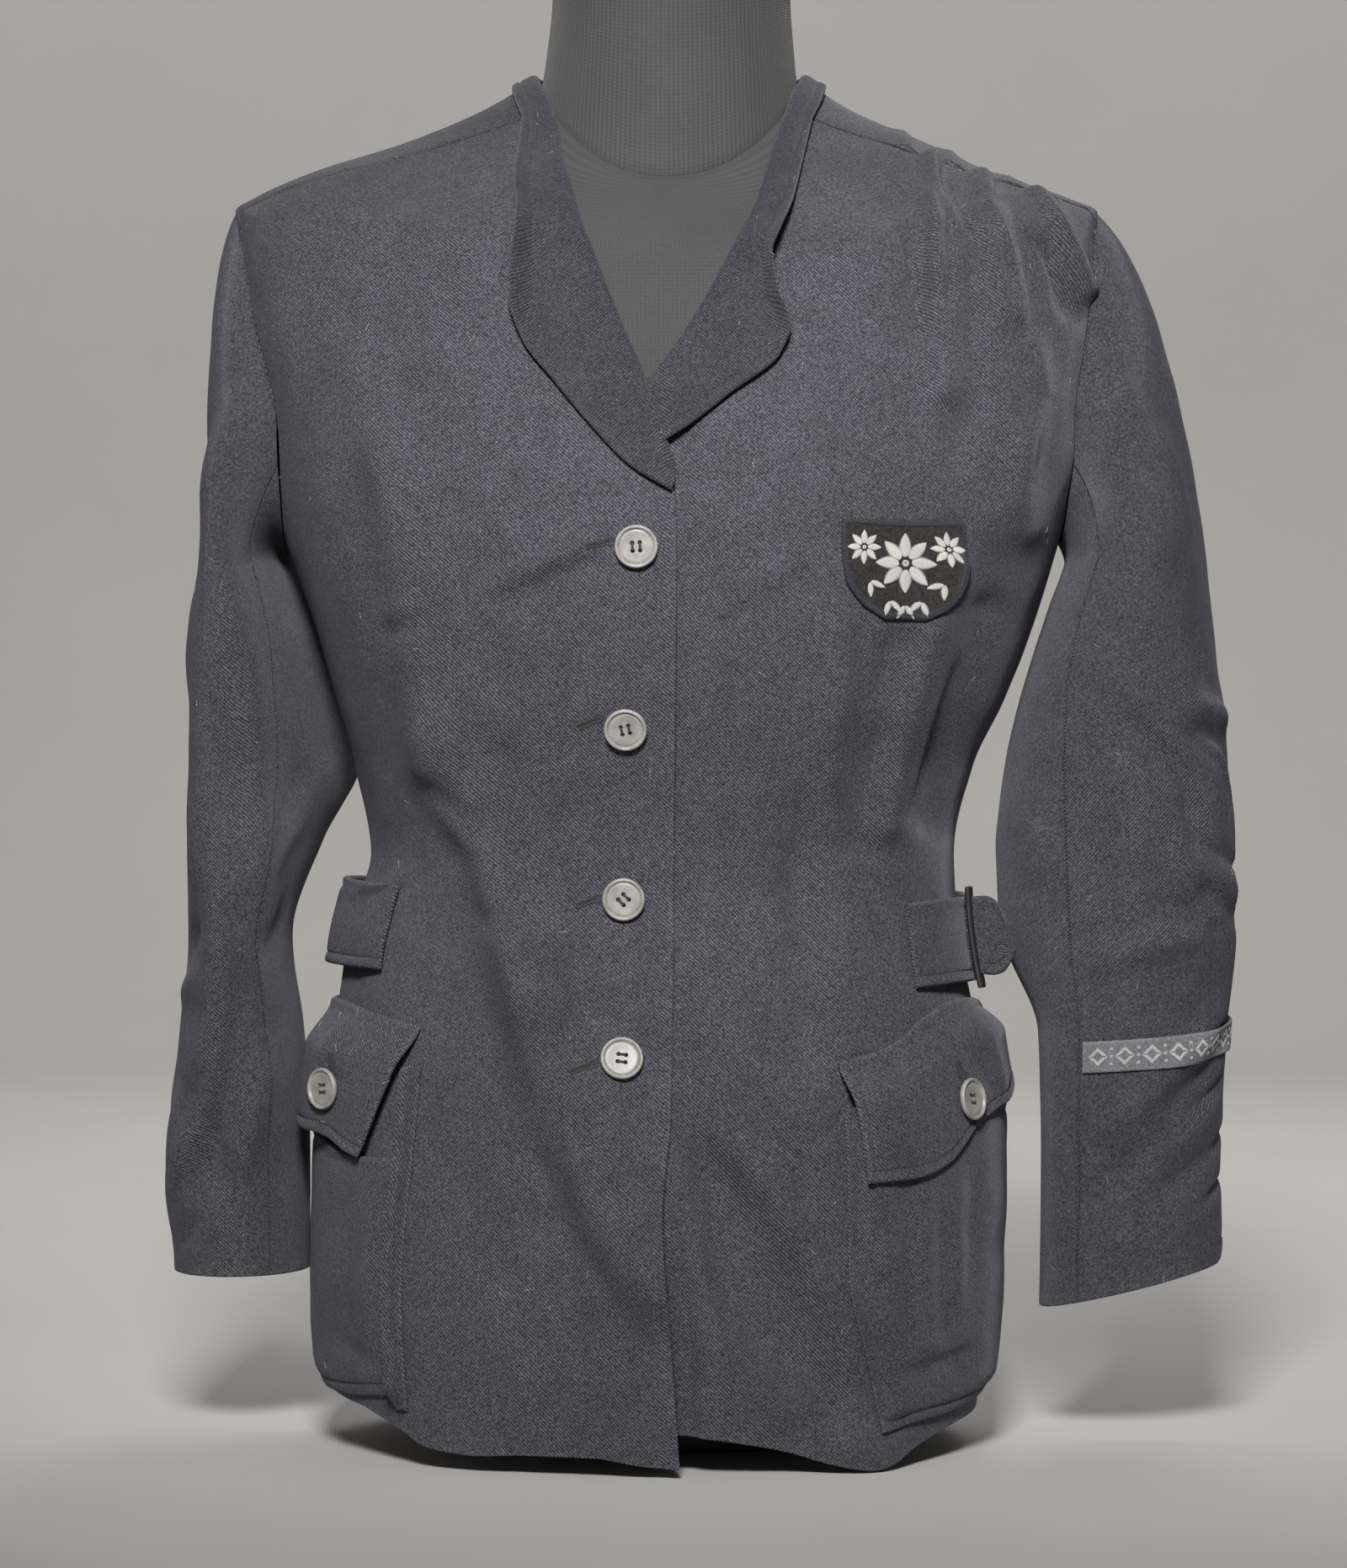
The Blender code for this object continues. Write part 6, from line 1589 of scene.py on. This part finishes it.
def workedHole(surface, x0, z0, x1, z1, lift):
    length = math.hypot(x1 - x0, z1 - z0)
    along = np.array([x1 - x0, z1 - z0]) / length
    side = np.array([-along[1], along[0]])
    lines = []
    for t in np.arange(0.0, length, holeLook["pitch"]):
        spread = 0.5 + 1.0 * math.exp(-((t / 1.8) ** 2))
        for way in (-1, 1):
            near, far = along * t + side * way * spread * 0.6, along * t + side * way * (spread + 1.25)
            lines.append([*near, *far])
    for turn in np.linspace(math.pi * 0.5, math.pi * 1.5, 9):
        way = along * math.cos(turn) + side * math.sin(turn)
        lines.append([*(way * 0.9), *(way * 2.4)])
    slit = [[*(along * t), *(along * (t + 0.9))] for t in np.arange(-0.6, length - 0.6, holeLook["slitPitch"])]
    slitRows.append(motif(surface, (x0, z0), slit, holeLook["slitThread"], lift))
    return motif(surface, (x0, z0), lines, holeLook["thread"], lift)


holeRows = [workedHole(onFrontCloth, *place, 0.12) for place in buttonholes]


def onFlap(side):
    def surface(x, z, lift):
        spots, faces = [], []
        for px, pz in zip(np.atleast_1d(x), np.atleast_1d(z)):
            place, normal = frontOf(flapNodes[side], px, pz)
            spots.append(place + normal * lift * mm)
            faces.append(normal)
        return np.array(spots, float), np.array(faces, float)

    return surface


holeRows.append(workedHole(onFlap(-1), -158.5, 181, -159.5, 191, 0.1))
holeRows.append(workedHole(onFlap(1), 140, 181.5, 137.5, 188.5, 0.1))
threadPiece("buttonholes", holeRows, threadGrey)
threadPiece("buttonhole_slits", slitRows, paintedSlitShade)

# The breast patch's own motif: three eight-petalled rosettes with knots in their middles, and small leaves below.
patchCentre = (110.0, 419.5)
borderLook = dict(low=395.2, high=440.0, pitch=0.36, thread=0.6)
# The rosettes' middles and sizes, and the leaves' stems and the way that they point.
rosettes = [(110.0, 420.5, 1.0), (91.0, 427.5, 0.56), (129.0, 427.5, 0.56)]
leaves = [(94, 412, 2.5), (126, 412, -2.5), (103, 403.5, 2.9), (117, 403.5, -2.9), (110, 401.5, math.pi)]
silver = []
for cx, cz, size in rosettes:
    rosette, knots = [], []
    for k in range(8):
        rosette += petal(k * math.pi / 4, 2.6 * size, 10.6 * size, 6.6 * size, 0.4)
    for turn in np.linspace(0, 2 * math.pi, 12, endpoint=False):
        x, z = math.sin(turn) * size, math.cos(turn) * size
        knots.append([0.3 * x, 0.3 * z, 1.8 * x, 1.8 * z])
    silver.append(motif(onFrontCloth, (cx, cz), rosette, 0.62, 2.2))
    silver.append(motif(onFrontCloth, (cx, cz), knots, 0.7, 2.3))
for cx, cz, lean in leaves:
    for tilt in (-0.55, 0.55):
        silver.append(motif(onFrontCloth, (cx, cz), petal(lean + tilt, 0.3, 6.6, 3.3, 0.42), 0.58, 2.15))
threadPiece("patch_rosette", silver, threadSilver)
low, high = borderLook["low"], borderLook["high"]
heights = np.linspace(low, high, 90)
left, right = read(patchOutline, "z", "left", heights), read(patchOutline, "z", "right", heights)
sides = [
    (left, heights),
    (np.linspace(left[-1], right[-1], 120), np.full(120, high)),
    (right[::-1], heights[::-1]),
    (np.linspace(right[0], left[0], 40), np.full(40, low)),
]
outline = np.concatenate([np.stack(side, -1) for side in sides])
gone = np.concatenate([[0], np.linalg.norm(np.diff(outline, axis=0), axis=1).cumsum()])
luck = np.random.default_rng(41)
border = []
for at in np.arange(0, gone[-1], borderLook["pitch"]):
    x, z = np.interp(at, gone, outline[:, 0]), np.interp(at, gone, outline[:, 1])
    inward = np.array([patchCentre[0] - x, patchCentre[1] - z])
    inward = inward / np.linalg.norm(inward)
    side = np.array([-inward[1], inward[0]]) * luck.uniform(-0.55, 0.55)
    reach = 2.9 + luck.uniform(-0.5, 0.7)
    middle = np.array([x, z]) + inward * 1.6
    way = (inward + side) * reach / 2
    border.append([*(middle - way - patchCentre), *(middle + way - patchCentre)])
border = motif(onFrontCloth, patchCentre, border, borderLook["thread"], 2.15)
threadPiece("patch_border", [border], threadNavy)

# The cuff band's own pattern: lozenges and dots between two fine edges.
bandAcross, _ = distances(bandPoints)
bandMiddle = bandAcross[len(bandAcross) // 2]


def onBand(s, h, lift):
    # Points and facings at lengths round the band and heights from its middle.
    column = np.interp(s, bandMiddle, np.arange(len(bandMiddle)))
    tall = bandShares() * cuffBandHeight
    row = np.interp(h, tall, np.arange(len(tall)))
    face = unit(between(bandNormals, column, row))
    return between(bandPoints, column, row) + face * lift * mm, face


lozengeLook = dict(first=8.0, pitch=13.0, outer=4.9, inner=2.2, thread=0.45, dotAway=3.6, dotHalf=0.9)
bandLines = []
look = lozengeLook
for middle in np.arange(look["first"], bandMiddle[-1] - 6, look["pitch"]):
    for offset in np.arange(-4.8, 4.81, look["thread"]):
        half, inner = look["outer"] - abs(offset), max(0.0, look["inner"] - abs(offset))
        for way in (-1, 1):
            bandLines.append([middle + offset, way * inner, middle + offset, way * half])
    for z in (-look["dotAway"], 0.0, look["dotAway"]):
        for shift in (-0.5, 0.0, 0.5):
            x = middle + look["pitch"] / 2 + shift
            bandLines.append([x, z - look["dotHalf"], x, z + look["dotHalf"]])
threadPiece("band_pattern", [motif(onBand, (0, 0), bandLines, 0.5, 0.08)], threadSilver)
threadPiece("topstitching", topstitches, threadDark)
print("stitching ready")


# The display form: a smooth closed torso with a jersey cover and a stitched neck seam.

formLook = dict(columns=168, rowStep=3.6, seamLevel=655.0, inset=0.35)


def formPiece():
    look = formLook
    seam = look["seamLevel"]
    nearSeam = seam + np.array([-1.4, -0.6, 0, 0.6, 1.4])
    levels = np.sort(np.concatenate([np.arange(22, 742, look["rowStep"]), nearSeam, [741, 742.5, 744, 745]]))
    angles = np.arange(look["columns"] + 1) * 360 / look["columns"]
    points = ringPoint(formRings, angles[None], levels[:, None])
    across = np.gradient(points, axis=1)
    normals = unit(np.cross(across, np.gradient(points, axis=0)))
    sink = look["inset"] + 0.9 * np.exp(-(((levels - seam) / 0.9) ** 2))
    points = points - normals * (sink * mm)[:, None, None]
    closed = points[:, :-1]
    rowCount, columns = closed.shape[:2]
    index = np.arange(rowCount * columns).reshape(rowCount, columns)
    right = np.roll(index, -1, 1)
    quads = np.stack([index[:-1], right[:-1], right[1:], index[1:]], -1).reshape(-1, 4)
    faces = quads.tolist() + [index[0][::-1].tolist(), index[-1].tolist()]
    mesh = bpy.data.meshes.new("form_torso")
    mesh.from_pydata(closed.reshape(-1, 3).tolist(), [], faces)
    gone = np.pad(np.linalg.norm(np.diff(points, axis=1), axis=2).cumsum(1), ((0, 0), (1, 0)))
    rise = np.pad(np.linalg.norm(np.diff(points[:, 0], axis=0), axis=1).cumsum(), (1, 0))
    # One scale for the whole neck and one for the chest, so that the wales run straight up.
    neckRow, chestRow = [gone[np.argmin(abs(levels - level))] for level in (700, 480)]
    ring = np.where(levels[:, None] > seam, neckRow, chestRow)
    layer = mesh.uv_layers.new(name="cloth")
    spots = []
    for face in mesh.polygons:
        for corner in face.vertices:
            row, column = divmod(corner, columns)
            if column == 0 and max(c % columns for c in face.vertices) == columns - 1:
                column = columns
            spots += [ring[row, column], rise[row]]
    layer.data.foreach_set("uv", spots)
    isNeck = np.repeat((levels > seam).astype(float), columns)
    mesh.attributes.new("neck", "FLOAT", "POINT").data.foreach_set("value", isNeck)
    mesh.shade_smooth()
    mesh.set_sharp_from_angle(angle=math.radians(60))
    finishPiece(placed("form_cover", mesh), jersey, ["form_torso"])
    at = int(np.argmin(np.abs(levels - seam + 2.6)))
    threadPiece("form_seam", [samplePath(points[at], normals[at], 2.6, 1.9, 0.4)], threadDark)


formPiece()


plinthLook = dict(halfWidth=92.0, halfDepth=48.0, height=21.7, edge=1.5)


def plinthPiece():
    # A low oval board with rounded edges: its outline at each height is the solid's oval, scaled by a share.
    wide, deep, height, bend = plinthLook.values()
    edge = [(1 - math.cos(a), math.sin(a)) for a in np.radians(np.linspace(0, 90, 6))]
    profile = [(1 - (bend - bend * s) / deep, bend * c) for c, s in edge]
    profile += [(1 - (bend * c) / deep, height - bend + bend * s) for c, s in edge]
    turns = np.radians(np.arange(0, 360, 3.0))
    spots = [(r * wide * math.cos(t) * mm, r * deep * math.sin(t) * mm, z * mm) for r, z in profile for t in turns]
    count, last = len(turns), len(profile) - 1
    faces = [
        [k * count + i, k * count + (i + 1) % count, (k + 1) * count + (i + 1) % count, (k + 1) * count + i]
        for k in range(last)
        for i in range(count)
    ]
    faces += [list(range(count))[::-1], [last * count + i for i in range(count)]]
    mesh = bpy.data.meshes.new("form_plinth")
    mesh.from_pydata(spots, [], faces)
    mesh.shade_smooth()
    mesh.set_sharp_from_angle(angle=math.radians(50))
    return finishPiece(placed("form_board", mesh), plinthWood, ["form_plinth"])


plinthPiece()
print("form and plinth ready")

# Lint: short pale fibres that lie on the cloth of the fronts and sleeves.

lintLook = dict(count=330, least=0.5, most=5.0, width=0.24)


def lintPiece():
    luck = np.random.default_rng(77)
    rows = []
    carriers = ["front_right", "front_left", "sleeve_left_upper", "sleeve_right_upper", "lapel_right", "lapel_left"]
    carriers += ["flap_right", "pocket_right", "back", "yoke"]
    share = [0.24, 0.24, 0.11, 0.11, 0.05, 0.05, 0.04, 0.04, 0.08, 0.04]
    for _ in range(lintLook["count"]):
        mesh = dressed[str(luck.choice(carriers, p=share))].data
        vertex = mesh.vertices[int(luck.integers(len(mesh.vertices) // 2))]
        face = unit(np.array(vertex.normal))
        along = unit(np.cross(face, unit(luck.normal(size=3))))
        bend = unit(along + 0.5 * np.cross(face, along) * luck.uniform(-1, 1))
        long = (lintLook["least"] + (lintLook["most"] - lintLook["least"]) * luck.uniform() ** 2.2) / 2
        start = np.array(vertex.co) + face * 0.12 * mm
        width = lintLook["width"] * mm
        for way, place in ((along, start - along * long / 2 * mm), (bend, start + bend * long / 2 * mm)):
            rows.append([*place, *way, *face, long * 1.1 * mm, width, width])
    return threadPiece("lint", [np.array(rows)], lintFibre)


lintPiece()

# Pale bits of tacking thread left in the left front's yoke seam: x and z from the front, and their turn.
bits = [
    (107, 628, 20), (112, 625, 60), (118, 624, -15), (124, 621, 35),
    (129, 619, 80), (136, 617, 10), (142, 615, -40), (151, 611, 25),
]
bitRows = []
for x, z, turn in bits:
    place, face = onFrontCloth(np.array([float(x)]), np.array([z - 1.0]), 0.15)
    way = np.array([math.cos(math.radians(turn)), 0.0, math.sin(math.radians(turn))])
    way = unit(way - face[0] * (way @ face[0]))
    bitRows.append([*place[0], *way, *face[0], 2.4 * mm, 0.28 * mm, 0.28 * mm])
threadPiece("tacking_bits", [np.array(bitRows)], threadPale)
print("lint and tacking thread ready")
# The floor, the lights and the camera.

stageLook = dict(
    floor=(0.64, 0.63, 0.62), floorReach=2.8, bend=1.0, wall=3.0,
    key=4.7, rim=6.0, backdrop=48.0, opposite=5.0, world=0.03,
)


def stage():
    # A round pale floor that curves up into a wall all round, so that every side is seen against it.
    look = stageLook
    curve = np.radians(np.linspace(0, 90, 16))
    reach, bend = look["floorReach"], look["bend"]
    path = [(0.5, 0.0), (1.5, 0.0)]
    path += [(reach + bend * math.sin(t), bend - bend * math.cos(t)) for t in curve]
    path += [(reach + bend, look["wall"])]
    bm = bmesh.new()
    rings = []
    turns = np.radians(np.arange(0, 360, 3.75))
    for r, z in path:
        rings.append([bm.verts.new((r * math.cos(t), r * math.sin(t), z - 0.0002)) for t in turns])
    bm.faces.new(rings[0])
    for low, high in zip(rings, rings[1:]):
        for i in range(len(low)):
            j = (i + 1) % len(low)
            bm.faces.new((low[i], high[i], high[j], low[j]))
    mesh = bpy.data.meshes.new("floor")
    bm.to_mesh(mesh)
    bm.free()
    mesh.shade_smooth()
    floor = placed("floor", mesh)
    floor.data.materials.append(plainMaterial("pale_floor", look["floor"], 0.75, 3.0, 0.02, 0.0001))


def softLight(name, place, target, size, power, spread=180):
    data = bpy.data.lights.new(name, "AREA")
    data.shape, data.size, data.size_y, data.energy = "RECTANGLE", size[0], size[1], power
    data.color, data.spread = (1.0, 0.985, 0.965), math.radians(spread)
    lamp = placed(name, data)
    lamp.location = place
    lamp.visible_camera = False
    way = Vector(target) - Vector(place)
    lamp.rotation_euler = way.to_track_quat("-Z", "Y").to_euler()


stage()
softLight("key", (-0.1, -1.95, 1.45), (0.01, 0, 0.42), (0.42, 0.42), stageLook["key"], 44)
softLight("back", (0.6, 1.6, 1.6), (0, 0, 0.45), (1.2, 0.8), stageLook["rim"])
softLight("backdrop", (0.0, 1.2, 2.6), (0, 3.6, 0.7), (3.0, 0.6), stageLook["backdrop"])
softLight("opposite", (0.0, -1.2, 2.6), (0, -3.6, 0.7), (3.0, 0.6), stageLook["opposite"])
world = bpy.data.worlds.new("studio")
world.use_nodes = True
background = world.node_tree.nodes["Background"].inputs
background["Color"].default_value = (0.95, 0.97, 1.0, 1.0)
background["Strength"].default_value = stageLook["world"]
bpy.context.scene.world = world
bpy.context.scene.view_settings.view_transform = "Standard"

cameraLook = dict(place=(0.004, -2.1, 0.3185), focal=5122 / 1862 * 36, sensor=36.0)
data = bpy.data.cameras.new("camera")
data.lens, data.sensor_width = cameraLook["focal"], cameraLook["sensor"]
camera = placed("camera", data)
camera.location = cameraLook["place"]
camera.rotation_euler = (math.radians(90), 0, 0)
bpy.context.scene.camera = camera
print("stage ready")

bpy.context.view_layer.update()
